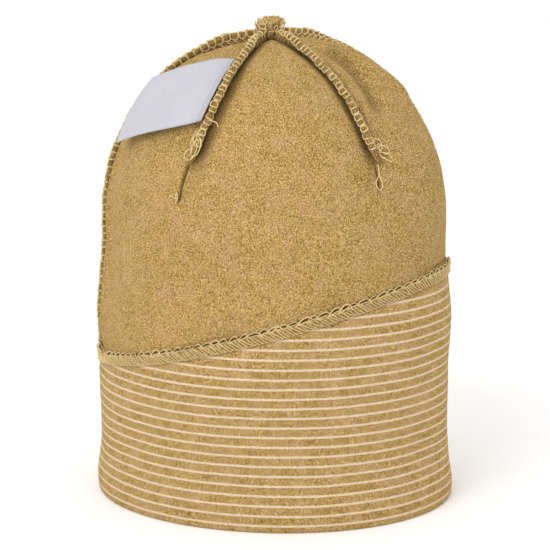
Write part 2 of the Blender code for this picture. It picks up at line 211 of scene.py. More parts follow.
class BEANIE_PG_cloth(bpy.types.PropertyGroup):
    """Colours and sizes of the jersey."""

    ochre: colour_setting("Ochre", "Middle colour of the crown's jersey", 172, 132, 54)
    ochre_dark: colour_setting("Dark fibres", "Darkest flecks of the jersey", 100, 63, 8)
    ochre_light: colour_setting("Light fibres", "Lightest flecks of the jersey", 227, 196, 128)
    rose: colour_setting(
        "Rose fibres", "Paler, pinker fibres that lie in patches in the jersey", 218, 178, 146)
    cream: colour_setting("Stripe", "Colour of the band's stripes", 234, 211, 180)
    fleck: length_setting("Fleck", "Size of one fleck of the jersey", 0.32 * MM, 0.1 * MM)
    course: length_setting("Course", "Height of one row of knit loops", 0.62 * MM, 0.1 * MM)
    wale: length_setting("Wale", "Width of one knit loop", 0.78 * MM, 0.1 * MM)
    first_stripe: length_setting("First stripe", "Height of the lowest stripe's middle above the rim", 3.2 * MM)
    stripe_pitch: length_setting("Stripe pitch", "Distance from one stripe to the next", 4.12 * MM, 1 * MM)
    stripe_width: length_setting("Stripe width", "Width of one stripe", 0.9 * MM, 0.1 * MM)


class BEANIE_PG_thread(bpy.types.PropertyGroup):
    """Colours, sizes and spacings of the overlock threads."""

    colour: colour_setting("Thread", "Colour of the overlock thread", 226, 202, 146)
    radius: length_setting("Thread radius", "Half the thickness of one thread", 0.22 * MM, 0.03 * MM)
    slant_pitch: length_setting(
        "Slant pitch", "Distance between the slanted threads on the band's seam", 1.6 * MM, 0.5 * MM)
    loop_pitch: length_setting(
        "Loop pitch", "Distance between the loops on the band seam's raw edge", 4.3 * MM, 1 * MM)
    rung_pitch: length_setting(
        "Rung pitch", "Distance between the threads over a dart's ridge", 2.45 * MM, 0.5 * MM)
    back_rung_pitch: length_setting(
        "Back rung pitch", "Distance between the threads over the back seam's ridge", 3.2 * MM, 0.5 * MM)
    wobble: bpy.props.FloatProperty(
        name="Wobble", description="How far a stitch may turn from its place",
        default=7 * DEG, min=0, unit="ROTATION")
    variation: bpy.props.FloatProperty(
        name="Variation", description="How much the stitches differ in size",
        default=0.12, min=0, max=0.5, subtype="FACTOR")
    seed: bpy.props.IntProperty(
        name="Seed", description="Fixes the stitches' random turns and sizes", default=7, min=0)


class BEANIE_PG_label(bpy.types.PropertyGroup):
    """Size, colour and weave of the label."""

    length: length_setting(
        "Length", "Length of the flat ribbon, from its sewn edge to its free end", 44.0 * MM, 10 * MM)
    width: length_setting("Width", "Width of the flat ribbon", 32.0 * MM, 5 * MM)
    colour: colour_setting("Ribbon", "Colour of the woven label", 190, 190, 196)
    weave: length_setting("Weave", "Width of one rib of the label's weave", 0.35 * MM, 0.05 * MM)


class BEANIE_PG_stage(bpy.types.PropertyGroup):
    """Floor, lights and camera."""

    floor: bpy.props.FloatVectorProperty(
        name="Floor", description="Colour of the floor and its backdrop",
        default=(0.99, 0.99, 0.99), subtype="COLOR", min=0, max=1)
    sky: bpy.props.FloatProperty(
        name="Surround", description="Strength of the white surround", default=1.0, min=0)
    key: bpy.props.FloatProperty(
        name="Key light", description="Power of the light above and left of the camera",
        default=4.6, min=0, unit="POWER")
    focal_length: bpy.props.FloatProperty(
        name="Lens", description="Focal length on a 36 mm sensor",
        default=149.1, min=10, unit="CAMERA")
    camera_azimuth: bpy.props.FloatProperty(
        name="Camera azimuth", description="Direction of the camera round the hat, from its front",
        default=-69 * DEG, unit="ROTATION")
    camera_elevation: bpy.props.FloatProperty(
        name="Camera elevation", description="Height of the camera as an angle",
        default=11.92 * DEG, unit="ROTATION")
    camera_roll: bpy.props.FloatProperty(
        name="Camera roll", description="How far the camera is turned about its own axis",
        default=-0.69 * DEG, unit="ROTATION")
    camera_distance: bpy.props.FloatProperty(
        name="Camera distance", description="Distance from the camera to its target",
        default=0.987, min=0.1, unit="LENGTH")
    target_height: bpy.props.FloatProperty(
        name="Target height", description="Height of the camera's target",
        default=94.6 * MM, unit="LENGTH")
    target_side: bpy.props.FloatProperty(
        name="Target side", description="How far the target lies to the right of the hat's axis",
        default=1.5 * MM, unit="LENGTH", precision=5)


def smooth(share):
    """Eases 0 to 1, flat at both ends, for numbers or arrays."""
    share = np.clip(share, 0.0, 1.0)
    return share * share * (3 - 2 * share)


def bell(distance, width):
    """A bump of height 1 that fades over a width."""
    return np.exp(-((distance / width) ** 2))


def needle_height(azimuth):
    """Height of the line where band and crown are sewn together."""
    middle = (BAND_FRONT_HEIGHT + BAND_BACK_HEIGHT) / 2 - SEAM_BELLY
    slope = (BAND_FRONT_HEIGHT - BAND_BACK_HEIGHT) / 2
    return middle + slope * np.cos(azimuth) + SEAM_BELLY * np.cos(2 * azimuth)


def oval(azimuth, inset, scale=1.0):
    """Points of the head's oval in plan, its half axes made smaller by inset and then scaled."""
    x = (BAND_HALF_WIDTH - inset) * scale * np.sin(azimuth)
    y = -(BAND_HALF_LENGTH - inset) * scale * np.cos(azimuth)
    return np.stack([x, y, np.zeros_like(x)], axis=-1)


def outward(azimuth, rise):
    """Unit directions off the cloth: level on the wall, straight up at the apex."""
    plan = np.stack([np.sin(azimuth) / BAND_HALF_WIDTH, -np.cos(azimuth) / BAND_HALF_LENGTH], axis=-1)
    plan = plan / np.linalg.norm(plan, axis=-1, keepdims=True)
    return np.concatenate([plan * np.cos(rise)[..., None], np.sin(rise)[..., None]], axis=-1)


def gore_place(azimuth):
    """Index of the seam before an azimuth, and the share of the gore past it."""
    place = (azimuth - BACK_AZIMUTH) / GORE
    before = np.floor(place + 1e-9)
    return before.astype(int), place - before


def drifted(azimuth, rise):
    """Azimuths moved along with the seams on either side of them."""
    before, share = gore_place(azimuth)
    reach = np.minimum((90 * DEG - rise) / (90 * DEG - DART_END_RISE * DEG), 1.0)
    moved = DRIFTS[before % GORES] * (1 - share) + DRIFTS[(before + 1) % GORES] * share
    return azimuth + moved * reach * reach


def seam_facts(azimuth):
    """Signed angle from the nearest seam, and whether that is the back seam."""
    place = (azimuth - BACK_AZIMUTH) / GORE
    nearest = np.round(place)
    return (place - nearest) * GORE, (nearest % GORES) == 0


def valley(azimuth, rise, radius):
    """How deep the cloth is pulled in beside the nearest seam."""
    angle, is_back = seam_facts(azimuth)
    back = BACK_VALLEY_SHARE + (1 - BACK_VALLEY_SHARE) * smooth(rise / (BACK_VALLEY_RISE * DEG))
    dart = smooth((rise - DART_END_RISE * DEG) / (DART_VALLEY_SPAN * DEG) + DART_VALLEY_START)
    return VALLEY_DEPTH * np.where(is_back, back, dart) * bell(angle * radius, VALLEY_WIDTH)


def crown_point(azimuth, rise, height=None, inset=0.0, lift=0.0):
    """Points of the crown's outer face. Below the dome's base rise is 0 and height says where they are."""
    azimuth, rise = np.broadcast_arrays(np.asarray(azimuth, float), np.asarray(rise, float))
    turned = drifted(azimuth, rise)
    climb = np.sin(rise) ** (2 / DOME_FULLNESS_UP)
    spread = np.maximum(np.cos(rise), 0.0) ** (2 / DOME_FULLNESS_OUT)
    dome = DOME_BASE + (CROWN_TOP - inset - DOME_BASE) * climb
    foot = needle_height(turned)
    if height is None:
        height, up_wall = dome, np.ones_like(dome)
    else:
        on_wall = rise <= 0
        up_wall = np.where(on_wall, smooth((height - foot) / (DOME_BASE - foot)), 1.0)
        height = np.where(on_wall, height, dome)
    wall_inset = BAND_THICKNESS - JERSEY
    point = oval(turned, wall_inset + inset + DOME_NARROWING * up_wall, spread)
    radius = np.linalg.norm(point[..., :2], axis=-1)
    share = gore_place(azimuth)[1]
    puff = GORE_PUFF * np.sin(np.pi * share) ** 2 * np.sin(2 * rise)
    off_crest = np.remainder(turned - FRONT_PUFF_AZIMUTH * DEG + math.pi, 2 * math.pi) - math.pi
    off_crest = off_crest * radius / FRONT_PUFF_WIDTH
    off_top = (rise / DEG - FRONT_PUFF_RISE) / FRONT_PUFF_REACH
    puff = puff + FRONT_PUFF * np.exp(-off_crest * off_crest - off_top * off_top)
    slump = BACK_SLUMP * (1 - np.cos(turned)) / 2 * np.sin(2 * rise) ** 2
    point[..., 2] = height
    point[..., 1] -= DOME_LEAN * up_wall * np.cos(rise) ** 2
    stand = puff + lift - slump - valley(azimuth, rise, radius)
    return point + outward(turned, rise) * stand[..., None]


SOFT_WAVES = 7


def soft_waves(point, seed, length, size):
    """Gentle unevenness of the cloth: a few sine waves in fixed random directions."""
    rng = np.random.default_rng(seed)
    total = np.zeros(point.shape[:-1])
    for _ in range(SOFT_WAVES):
        direction = rng.normal(size=3)
        direction /= np.linalg.norm(direction)
        phase = rng.uniform(0, 2 * math.pi)
        total += np.sin(point @ direction * 2 * math.pi / (length * rng.uniform(0.7, 1.6)) + phase)
    return total * size / math.sqrt(SOFT_WAVES)


# Creases and soft folds of the crown, each a line through (azimuth, dome angle) places. A negative depth
# stands proud. Depth and width are in mm, the fade of its ends is in degrees, and the painted shade darkens
# the depth of a crease or a trough.
CROWN_FOLDS = (
    {"line": ((-98.8, 10.0), (-98.3, 16.0), (-97.0, 24.0)),
     "depth": 1.1, "width": 0.65, "fade": 2, "painted_shade": 0.85},
    {"line": ((-96.6, 11.0), (-95.6, 17.0), (-94.6, 27.0)),
     "depth": 0.7, "width": 2.4, "fade": 4, "painted_shade": 0.10},
    {"line": ((-101.2, 10.0), (-100.4, 24.0)),
     "depth": -0.6, "width": 2.0, "fade": 4, "painted_shade": 0.0},
    {"line": ((-38.3, 13.0), (-37.6, 17.0), (-36.9, 23.0)),
     "depth": 1.1, "width": 0.65, "fade": 2, "painted_shade": 0.8},
    {"line": ((-41.0, 13.0), (-39.4, 26.0)),
     "depth": 0.7, "width": 2.4, "fade": 4, "painted_shade": 0.10},
    {"line": ((-35.6, 13.0), (-34.6, 24.0)),
     "depth": -0.6, "width": 2.0, "fade": 4, "painted_shade": 0.0},
    {"line": ((5.0, 36.0), (2.0, 44.5), (-3.0, 52.0), (-9.0, 61.0), (-10.0, 76.0)),
     "depth": -2.6, "width": 3.0, "fade": 9, "painted_shade": 0.0},
    {"line": ((-25.0, 35.0), (-22.0, 44.5), (-19.2, 54.0), (-16.0, 64.0), (-17.0, 74.0)),
     "depth": 2.8, "width": 4.2, "fade": 9, "painted_shade": 0.4},
    {"line": ((9.0, 40.0), (6.0, 52.0), (3.0, 64.0), (0.0, 76.0)),
     "depth": 1.6, "width": 2.4, "fade": 8, "painted_shade": 0.34},
    {"line": ((-32.0, 33.0), (-33.0, 45.0), (-31.0, 60.0), (-30.0, 70.0)),
     "depth": -1.7, "width": 2.2, "fade": 8, "painted_shade": 0.0},
    {"line": ((-89.0, 28.0), (-90.0, 62.0)),
     "depth": 0.8, "width": 3.0, "fade": 8, "painted_shade": 0.0},
    {"line": ((-117.0, 8.0), (-113.0, 22.0), (-111.0, 33.0)),
     "depth": -0.7, "width": 3.5, "fade": 8, "painted_shade": 0.0},
)
CREASE_PAINTED_SHADE_WIDTH = 0.8


def fold_relief(azimuth, rise, radius):
    """How far the crown's folds push its cloth out, and the painted shade that darkens their depths."""
    relief, painted_shade = np.zeros(azimuth.shape), np.zeros(azimuth.shape)
    for fold in CROWN_FOLDS:
        azimuths, rises = np.array(sorted(fold["line"], key=lambda place: place[1])).T
        degrees = rise / DEG
        aside = azimuth / DEG - np.interp(degrees, rises, azimuths)
        aside = (np.remainder(aside + 180, 360) - 180) * DEG * radius / MM
        along = smooth((degrees - rises[0]) / fold["fade"]) * smooth((rises[-1] - degrees) / fold["fade"])
        relief -= fold["depth"] * MM * bell(aside, fold["width"]) * along
        painted_shade = np.maximum(painted_shade, fold["painted_shade"] * bell(aside, CREASE_PAINTED_SHADE_WIDTH * fold["width"]) * along)
    return relief, painted_shade


def painted_shade_under_ridges(azimuth, radius, sewn):
    """Painted shade on the cloth in the shelter of the ridge that leans over it, fainter on the ridge's open
    side.
    """
    place = np.round((azimuth - BACK_AZIMUTH) / GORE)
    leans = LEANS[place.astype(int) % GORES]
    aside = (azimuth - BACK_AZIMUTH - place * GORE) * radius * np.sign(leans)
    width = np.where(aside < SHELTER_MIDDLE, SHELTER_RISE, SHELTER_WIDTH)
    sheltered_painted_shade = SHELTER_PAINTED_SHADE * bell(aside - SHELTER_MIDDLE, width)
    open_side_painted_shade = OPEN_SIDE_SHARE * SHELTER_PAINTED_SHADE * bell(aside, OPEN_SIDE_WIDTH)
    return np.where(aside > 0, sheltered_painted_shade, open_side_painted_shade) * sewn


def build_mesh(name, points, faces, uvs=None, painted_shade=None):
    """A mesh object from points and faces, with a map of uvs for each face corner and a painted shade for each
    point if given."""
    mesh = bpy.data.meshes.new(name)
    mesh.from_pydata([tuple(p) for p in np.asarray(points).reshape(-1, 3)], [], faces)
    if uvs is not None:
        layer = mesh.uv_layers.new(name="cloth")
        layer.data.foreach_set("uv", np.asarray(uvs, np.float32).ravel())
    if painted_shade is not None:
        layer = mesh.attributes.new("painted_shade", "FLOAT", "POINT")
        layer.data.foreach_set("value", np.asarray(painted_shade, np.float32).ravel())
    mesh.shade_smooth()
    mesh.validate()
    piece = bpy.data.objects.new(name, mesh)
    bpy.context.scene.collection.objects.link(piece)
    return piece


def grid_faces(rows, columns, wrap, start=0, flip=False):
    """Quads of a grid of points held row by row, closed round if wrap is set, with (row, column) corners."""
    faces, corners = [], []
    for r in range(rows - 1):
        for c in range(columns if wrap else columns - 1):
            n = (c + 1) % columns
            quad = [(r, c, c), (r, n, c + 1), (r + 1, n, c + 1), (r + 1, c, c)]
            if flip:
                quad.reverse()
            faces.append([start + i * columns + j for i, j, _ in quad])
            corners.append([(i, k) for i, _, k in quad])
    return faces, corners


def end_caps(rows, columns):
    """The two faces that close the first and the last row of a grid that is closed round."""
    return [list(range(columns))[::-1], [(rows - 1) * columns + c for c in range(columns)]]


def bridge(columns, start):
    """Quads that join a grid's first row to the row of points that begins at start."""
    return [[(c + 1) % columns, c, start + c, start + (c + 1) % columns] for c in range(columns)]


def distances_along(path):
    """How far each point of a path lies from its start, measured along it."""
    return np.concatenate([[0], np.cumsum(np.linalg.norm(np.diff(path, axis=0), axis=1))])


def finish_piece(piece, material, slot, *nodes):
    """Gives a piece its material, rides it on the hat and hides the solids that it stands for."""
    piece.data.materials.clear()
    piece.data.materials.append(material)
    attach(piece, BODY)
    if nodes:
        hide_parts(*nodes)
    return piece


def clean_normals(piece):
    """Merges doubled points and turns all faces outwards."""
    shape = bmesh.new()
    shape.from_mesh(piece.data)
    bmesh.ops.remove_doubles(shape, verts=shape.verts, dist=0.005 * MM)
    bmesh.ops.recalc_face_normals(shape, faces=shape.faces)
    shape.to_mesh(piece.data)
    shape.free()
    piece.data.shade_smooth()


# Materials


def new_material(name, roughness, sheen=0.0, sheen_tint=(1, 1, 1)):
    """A matt material and its node tree."""
    material = bpy.data.materials.new(name)
    material.use_nodes = True
    surface = material.node_tree.nodes["Principled BSDF"]
    surface.inputs["Roughness"].default_value = roughness
    surface.inputs["Specular IOR Level"].default_value = 0.12
    surface.inputs["Sheen Weight"].default_value = sheen
    surface.inputs["Sheen Roughness"].default_value = 0.2
    surface.inputs["Sheen Tint"].default_value = (*sheen_tint, 1)
    return material, material.node_tree, surface


def math_node(tree, operation, first, second=None, clamp=False):
    """One sum on values or sockets. Returns its output."""
    node = tree.nodes.new("ShaderNodeMath")
    node.operation = operation
    node.use_clamp = clamp
    for socket, value in zip(node.inputs, (first, second)):
        if value is None:
            continue
        if isinstance(value, (int, float)):
            socket.default_value = value
        else:
            tree.links.new(value, socket)
    return node.outputs[0]


def plus(tree, first, second):
    """The sum of two values."""
    return math_node(tree, "ADD", first, second)


def minus(tree, first, second):
    """One value less another."""
    return math_node(tree, "SUBTRACT", first, second)


def times(tree, first, second, clamp=False):
    """The product of two values, kept between 0 and 1 if clamped."""
    return math_node(tree, "MULTIPLY", first, second, clamp)


def sine(tree, value, length):
    """A sine wave of a length along a value."""
    return math_node(tree, "SINE", times(tree, value, 2 * math.pi / length))


def fade(tree, value, nothing, full):
    """The share of the way that a value has come from one place, where it is 0, to another, where it is 1."""
    node = tree.nodes.new("ShaderNodeMapRange")
    node.inputs["From Min"].default_value = nothing
    node.inputs["From Max"].default_value = full
    tree.links.new(value, node.inputs["Value"])
    return node.outputs[0]


def dimmed(colour, factor):
    """A colour multiplied by a factor, with 1 as its brightest."""
    return tuple(min(factor * value, 1.0) for value in colour)


def mixed(tree, share, first, second):
    """A colour mixed from two by a share. Returns its output."""
    node = tree.nodes.new("ShaderNodeMix")
    node.data_type = "RGBA"
    for socket, value in ((node.inputs[0], share), (node.inputs[6], first), (node.inputs[7], second)):
        if isinstance(value, (int, float)):
            socket.default_value = value
        elif isinstance(value, bpy.types.NodeSocket):
            tree.links.new(value, socket)
        else:
            socket.default_value = (*value, 1)
    return node.outputs[2]


def object_place(tree):
    """The place on the object itself."""
    return tree.nodes.new("ShaderNodeTexCoord").outputs["Object"]


def cloth_place(tree):
    """The place on the cloth's own flat map, across and up, in metres."""
    uv = tree.nodes.new("ShaderNodeUVMap")
    uv.uv_map = "cloth"
    split = tree.nodes.new("ShaderNodeSeparateXYZ")
    tree.links.new(uv.outputs[0], split.inputs[0])
    return split.outputs[0], split.outputs[1]


def noise(tree, vector, scale, roughness=0.6):
    """A noise read at a vector. Returns its value's output."""
    node = tree.nodes.new("ShaderNodeTexNoise")
    node.inputs["Scale"].default_value = scale
    node.inputs["Detail"].default_value = 2.0
    node.inputs["Roughness"].default_value = roughness
    tree.links.new(vector, node.inputs["Vector"])
    return node.outputs[0]


def ramp(tree, value, *stops):
    """A colour ramp through (place, colour) stops. Returns its output."""
    node = tree.nodes.new("ShaderNodeValToRGB")
    elements = node.color_ramp.elements
    while len(elements) < len(stops):
        elements.new(0.5)
    for element, (place, colour) in zip(elements, stops):
        element.position = place
        element.color = (*colour, 1)
    tree.links.new(value, node.inputs[0])
    return node.outputs[0]


def bumped(tree, surface, height, distance, strength):
    """Roughens a surface by a height."""
    node = tree.nodes.new("ShaderNodeBump")
    node.inputs["Distance"].default_value = distance
    node.inputs["Strength"].default_value = strength
    tree.links.new(height, node.inputs["Height"])
    tree.links.new(node.outputs[0], surface.inputs["Normal"])


STRIPE_WANDER = 0.75 * MM
STRIPE_EDGE = 0.24 * MM
PLAIN_ROSINESS = 0.46
STRIPED_ROSINESS = 0.72


def heather(tree, cloth, place, flecks, rosiness):
    """Colour of heather jersey: flecks of three tones, with paler, pinker fibres lying in clouds."""
    patches = noise(tree, place, 0.4 / cloth.fleck, 0.5)
    tone = plus(tree, times(tree, flecks, 0.8), times(tree, patches, 0.2))
    colour = ramp(tree, tone, (0.448, cloth.ochre_dark), (0.5, cloth.ochre), (0.552, cloth.ochre_light))
    slow = noise(tree, place, 22.0, 0.5)
    colour = mixed(tree, times(tree, slow, 0.10), colour, cloth.ochre_light)
    clouds = times(tree, minus(tree, noise(tree, place, 140.0), 0.42), 4.0, clamp=True)
    fibres = times(tree, minus(tree, noise(tree, place, 0.7 / cloth.fleck), 0.46), 8.0, clamp=True)
    return mixed(tree, times(tree, times(tree, clouds, fibres), rosiness), colour, cloth.rose)


def stripes(tree, cloth, place, up):
    """The share of cream at each height: 1 on a stripe, 0 between stripes, with a wavering edge."""
    wander = times(tree, minus(tree, noise(tree, place, 1 / (1.1 * cloth.fleck)), 0.5), STRIPE_WANDER)
    from_first = plus(tree, minus(tree, up, cloth.first_stripe), wander)
    # whole pitches are added, so that the count is above zero below the first stripe too
    counted = plus(tree, from_first, 40 * cloth.stripe_pitch)
    from_stripe = math_node(tree, "PINGPONG", counted, cloth.stripe_pitch / 2)
    half = cloth.stripe_width / 2
    return fade(tree, from_stripe, half + STRIPE_EDGE, half - STRIPE_EDGE)


def jersey_material(name, cloth, striped):
    """Heather jersey seen from its looped side, with the band's cream stripes if striped."""
    material, tree, surface = new_material(name, 0.92, sheen=0.3, sheen_tint=cloth.ochre_light)
    place = object_place(tree)
    across, up = cloth_place(tree)
    flecks = noise(tree, place, 1 / cloth.fleck)
    colour = heather(tree, cloth, place, flecks, STRIPED_ROSINESS if striped else PLAIN_ROSINESS)

    wavy = times(tree, sine(tree, across, cloth.wale), 1.1)
    rows = plus(tree, times(tree, up, 2 * math.pi / cloth.course), wavy)
    loops = times(tree, math_node(tree, "SINE", rows), 0.35)
    if striped:
        stripe = stripes(tree, cloth, place, up)
        speckle = ramp(tree, flecks, (0.36, dimmed(cloth.cream, 0.64)), (0.49, cloth.cream),
                       (0.58, dimmed(cloth.cream, 1.1)))
        colour = mixed(tree, stripe, colour, speckle)
        loops = plus(tree, loops, times(tree, stripe, 0.25))
    # Painted shade: the colour is darkened towards a deep brown by a per-point attribute, standing in for the
    # shadow in creases, under the ridges and between the threads.
    painted_shade_input = tree.nodes.new("ShaderNodeAttribute")
    painted_shade_input.attribute_name = "painted_shade"
    colour = mixed(tree, painted_shade_input.outputs["Fac"], colour, dimmed(cloth.ochre_dark, 0.4))
    tree.links.new(colour, surface.inputs["Base Color"])
    bumped(tree, surface, plus(tree, loops, flecks), 0.32 * MM, 0.9)
    return material


def thread_material(name, thread):
    """Twisted cotton thread."""
    material, tree, surface = new_material(name, 0.75, sheen=0.15, sheen_tint=thread.colour)
    strands = noise(tree, object_place(tree), 2600.0)
    colour = ramp(tree, strands, (0.35, dimmed(thread.colour, 0.62)), (0.5, thread.colour),
                  (0.66, dimmed(thread.colour, 1.12)))
    tree.links.new(colour, surface.inputs["Base Color"])
    bumped(tree, surface, strands, 0.08 * MM, 0.8)
    return material


# The label's woven-in line beside its sewn edge, and the needle's holes outside it
LABEL_LINE_PLACE = 2.3 * MM
LABEL_HOLE_PLACE = 1.3 * MM
LABEL_HOLE_PITCH = 1.1 * MM


def label_material(label):
    """Woven satin ribbon with a line along its sewn edge and the needle's holes outside the line."""
    material, tree, surface = new_material("label_ribbon", 0.55, sheen=0.1)
    place = object_place(tree)
    across, up = cloth_place(tree)
    weave = times(tree, sine(tree, across, label.weave), sine(tree, up, 0.7 * label.weave))
    grain = noise(tree, place, 1500.0)
    slow = noise(tree, place, 60.0, 0.5)
    tone = plus(tree, times(tree, grain, 0.5), times(tree, slow, 0.5))
    base = tuple(label.colour)
    colour = ramp(tree, tone, (0.3, dimmed(base, 0.9)), (0.5, base), (0.7, dimmed(base, 1.06)))

    beside = math_node(tree, "ABSOLUTE", minus(tree, across, LABEL_LINE_PLACE))
    line = fade(tree, beside, 0.22 * MM, 0.10 * MM)
    colour = mixed(tree, times(tree, line, 0.55), colour, dimmed(base, 0.45))
    along = minus(tree, math_node(tree, "PINGPONG", up, LABEL_HOLE_PITCH), LABEL_HOLE_PITCH / 2)
    away = minus(tree, across, LABEL_HOLE_PLACE)
    reach = math_node(tree, "SQRT", plus(tree, times(tree, along, along), times(tree, away, away)))
    hole = fade(tree, reach, 0.34 * MM, 0.2 * MM)
    colour = mixed(tree, times(tree, hole, 0.6), colour, dimmed(base, 0.3))
    tree.links.new(colour, surface.inputs["Base Color"])
    bumped(tree, surface, plus(tree, weave, grain), 0.05 * MM, 0.6)
    return material


# Threads


def frames_along(points):
    """Two directions square to a path and to each other, at each point, turning as little as possible."""
    points = np.asarray(points, float)
    tangents = np.gradient(points, axis=0)
    tangents /= np.linalg.norm(tangents, axis=1, keepdims=True) + 1e-12
    side = np.cross(tangents[0], (0.31, 0.72, 0.62))
    side /= np.linalg.norm(side)
    firsts, seconds = [], []
    for tangent in tangents:
        side = side - tangent * (side @ tangent)
        side /= np.linalg.norm(side) + 1e-12
        firsts.append(side)
        seconds.append(np.cross(tangent, side))
    return np.array(firsts), np.array(seconds)


def tube(points, radius, sides=5):
    """Points and faces of a closed tube round a path."""
    points = np.asarray(points, float)
    radii = np.broadcast_to(radius, len(points))
    first, second = frames_along(points)
    turns = np.linspace(0, 2 * math.pi, sides, endpoint=False)
    ring = (first[:, None] * np.cos(turns)[None, :, None] + second[:, None] * np.sin(turns)[None, :, None])
    verts = (points[:, None] + ring * radii[:, None, None]).reshape(-1, 3)
    faces = grid_faces(len(points), sides, wrap=True)[0] + end_caps(len(points), sides)
    return verts, faces


def joined(parts):
    """Points and faces of several (points, faces) pairs as one."""
    all_points, all_faces, start = [], [], 0
    for points, faces in parts:
        all_points.append(points)
        all_faces += [[start + i for i in face] for face in faces]
        start += len(points)
    return np.concatenate(all_points), all_faces


def eased(points, steps):
    """A smooth path through points, with steps between each pair."""
    points = np.asarray(points, float)
    padded = np.concatenate([[2 * points[0] - points[1]], points, [2 * points[-1] - points[-2]]])
    out = []
    for k in range(1, len(padded) - 2):
        a, b, c, d = padded[k - 1:k + 3]
        for s in np.arange(steps) / steps:
            out.append(0.5 * (2 * b + (c - a) * s + (2 * a - 5 * b + 4 * c - d) * s ** 2
                              + (3 * b - a - 3 * c + d) * s ** 3))
    out.append(points[-1])
    return np.array(out)


def stitch_tree():
    """Geometry nodes that put one stitch on every point of a run of sites."""
    tree = bpy.data.node_groups.new("stitch_run", "GeometryNodeTree")
    face = tree.interface
    face.new_socket("Geometry", in_out="INPUT", socket_type="NodeSocketGeometry")
    for name, kind, value in (
            ("Stitch", "NodeSocketObject", None), ("Thread", "NodeSocketMaterial", None),
            ("Wobble", "NodeSocketFloat", 0.1), ("Variation", "NodeSocketFloat", 0.1),
            ("Seed", "NodeSocketInt", 1)):
        socket = face.new_socket(name, in_out="INPUT", socket_type=kind)
        if value is not None:
            socket.default_value = value
    face.new_socket("Geometry", in_out="OUTPUT", socket_type="NodeSocketGeometry")

    def add(kind, **settings):
        node = tree.nodes.new(kind)
        for name, value in settings.items():
            setattr(node, name, value)
        return node

    def named(name):
        node = add("GeometryNodeInputNamedAttribute", data_type="FLOAT_VECTOR")
        node.inputs["Name"].default_value = name
        return node.outputs["Attribute"]

    def shown(sockets, name):
        return next(s for s in sockets if s.name == name and s.enabled)

    link = tree.links.new
    given, out = add("NodeGroupInput"), add("NodeGroupOutput")
    info = add("GeometryNodeObjectInfo")
    link(given.outputs["Stitch"], info.inputs["Object"])
    axes = add("FunctionNodeAxesToRotation", primary_axis="Z", secondary_axis="X")
    link(named("up"), axes.inputs["Primary Axis"])
    link(named("run"), axes.inputs["Secondary Axis"])

    least = add("ShaderNodeMath", operation="MULTIPLY")
    link(given.outputs["Wobble"], least.inputs[0])
    least.inputs[1].default_value = -1
    turn = add("FunctionNodeRandomValue", data_type="FLOAT_VECTOR")
    link(least.outputs[0], shown(turn.inputs, "Min"))
    link(given.outputs["Wobble"], shown(turn.inputs, "Max"))
    link(given.outputs["Seed"], turn.inputs["Seed"])
    euler = add("FunctionNodeEulerToRotation")
    link(shown(turn.outputs, "Value"), euler.inputs[0])
    turned = add("FunctionNodeRotateRotation", rotation_space="LOCAL")
    link(axes.outputs[0], turned.inputs[0])
    link(euler.outputs[0], turned.inputs[1])

    smallest = add("ShaderNodeMath", operation="SUBTRACT")
    smallest.inputs[0].default_value = 1
    link(given.outputs["Variation"], smallest.inputs[1])
    largest = add("ShaderNodeMath", operation="ADD")
    largest.inputs[0].default_value = 1
    link(given.outputs["Variation"], largest.inputs[1])
    growth = add("FunctionNodeRandomValue", data_type="FLOAT_VECTOR")
    link(smallest.outputs[0], shown(growth.inputs, "Min"))
    link(largest.outputs[0], shown(growth.inputs, "Max"))
    link(given.outputs["Seed"], growth.inputs["Seed"])
    size = add("ShaderNodeVectorMath", operation="MULTIPLY")
    link(named("size"), size.inputs[0])
    link(shown(growth.outputs, "Value"), size.inputs[1])

    put = add("GeometryNodeInstanceOnPoints")
    link(given.outputs["Geometry"], put.inputs["Points"])
    link(info.outputs["Geometry"], put.inputs["Instance"])
    link(turned.outputs[0], put.inputs["Rotation"])
    link(size.outputs[0], put.inputs["Scale"])
    real = add("GeometryNodeRealizeInstances")
    link(put.outputs[0], real.inputs[0])
    coloured = add("GeometryNodeSetMaterial")
    link(real.outputs[0], coloured.inputs[0])
    link(given.outputs["Thread"], coloured.inputs["Material"])
    link(coloured.outputs[0], out.inputs[0])
    return tree


def stitch_run(name, sites, stitch, material, thread, wobble=None, variation=None):
    """Puts a stitch, given as points and faces, on each site and returns them all as one piece.

    Sites are dicts of place, run, up and size.
    """
    tree = bpy.data.node_groups.get("stitch_run") or stitch_tree()
    unit = build_mesh(name + "_unit", stitch[0], stitch[1])
    clean_normals(unit)
    carrier = build_mesh(name + "_sites", [site["place"] for site in sites], [])
    for key in ("run", "up", "size"):
        layer = carrier.data.attributes.new(key, "FLOAT_VECTOR", "POINT")
        layer.data.foreach_set("vector", np.array([site[key] for site in sites], np.float32).ravel())
    modifier = carrier.modifiers.new("stitches", "NODES")
    modifier.node_group = tree
    values = {"Stitch": unit, "Thread": material, "Seed": thread.seed,
              "Wobble": thread.wobble if wobble is None else wobble,
              "Variation": thread.variation if variation is None else variation}
    for item in tree.interface.items_tree:
        if item.in_out == "INPUT" and item.name in values:
            modifier[item.identifier] = values[item.name]
    bpy.context.view_layer.update()
    graph = bpy.context.evaluated_depsgraph_get()
    mesh = bpy.data.meshes.new_from_object(carrier.evaluated_get(graph))
    mesh.name = name
    for old in (carrier, unit):
        bpy.data.objects.remove(old, do_unlink=True)
    for layer in list(mesh.attributes):
        if layer.name in ("run", "up", "size"):
            mesh.attributes.remove(layer)
    mesh.shade_smooth()
    piece = bpy.data.objects.new(name, mesh)
    bpy.context.scene.collection.objects.link(piece)
    return finish_piece(piece, material, "overlock_thread")


# Seam ridges


# Stations of a ridge on the dome and, for the back seam, down the wall
BACK_STATIONS = 90
DART_STATIONS = 78
WALL_STATIONS = 50


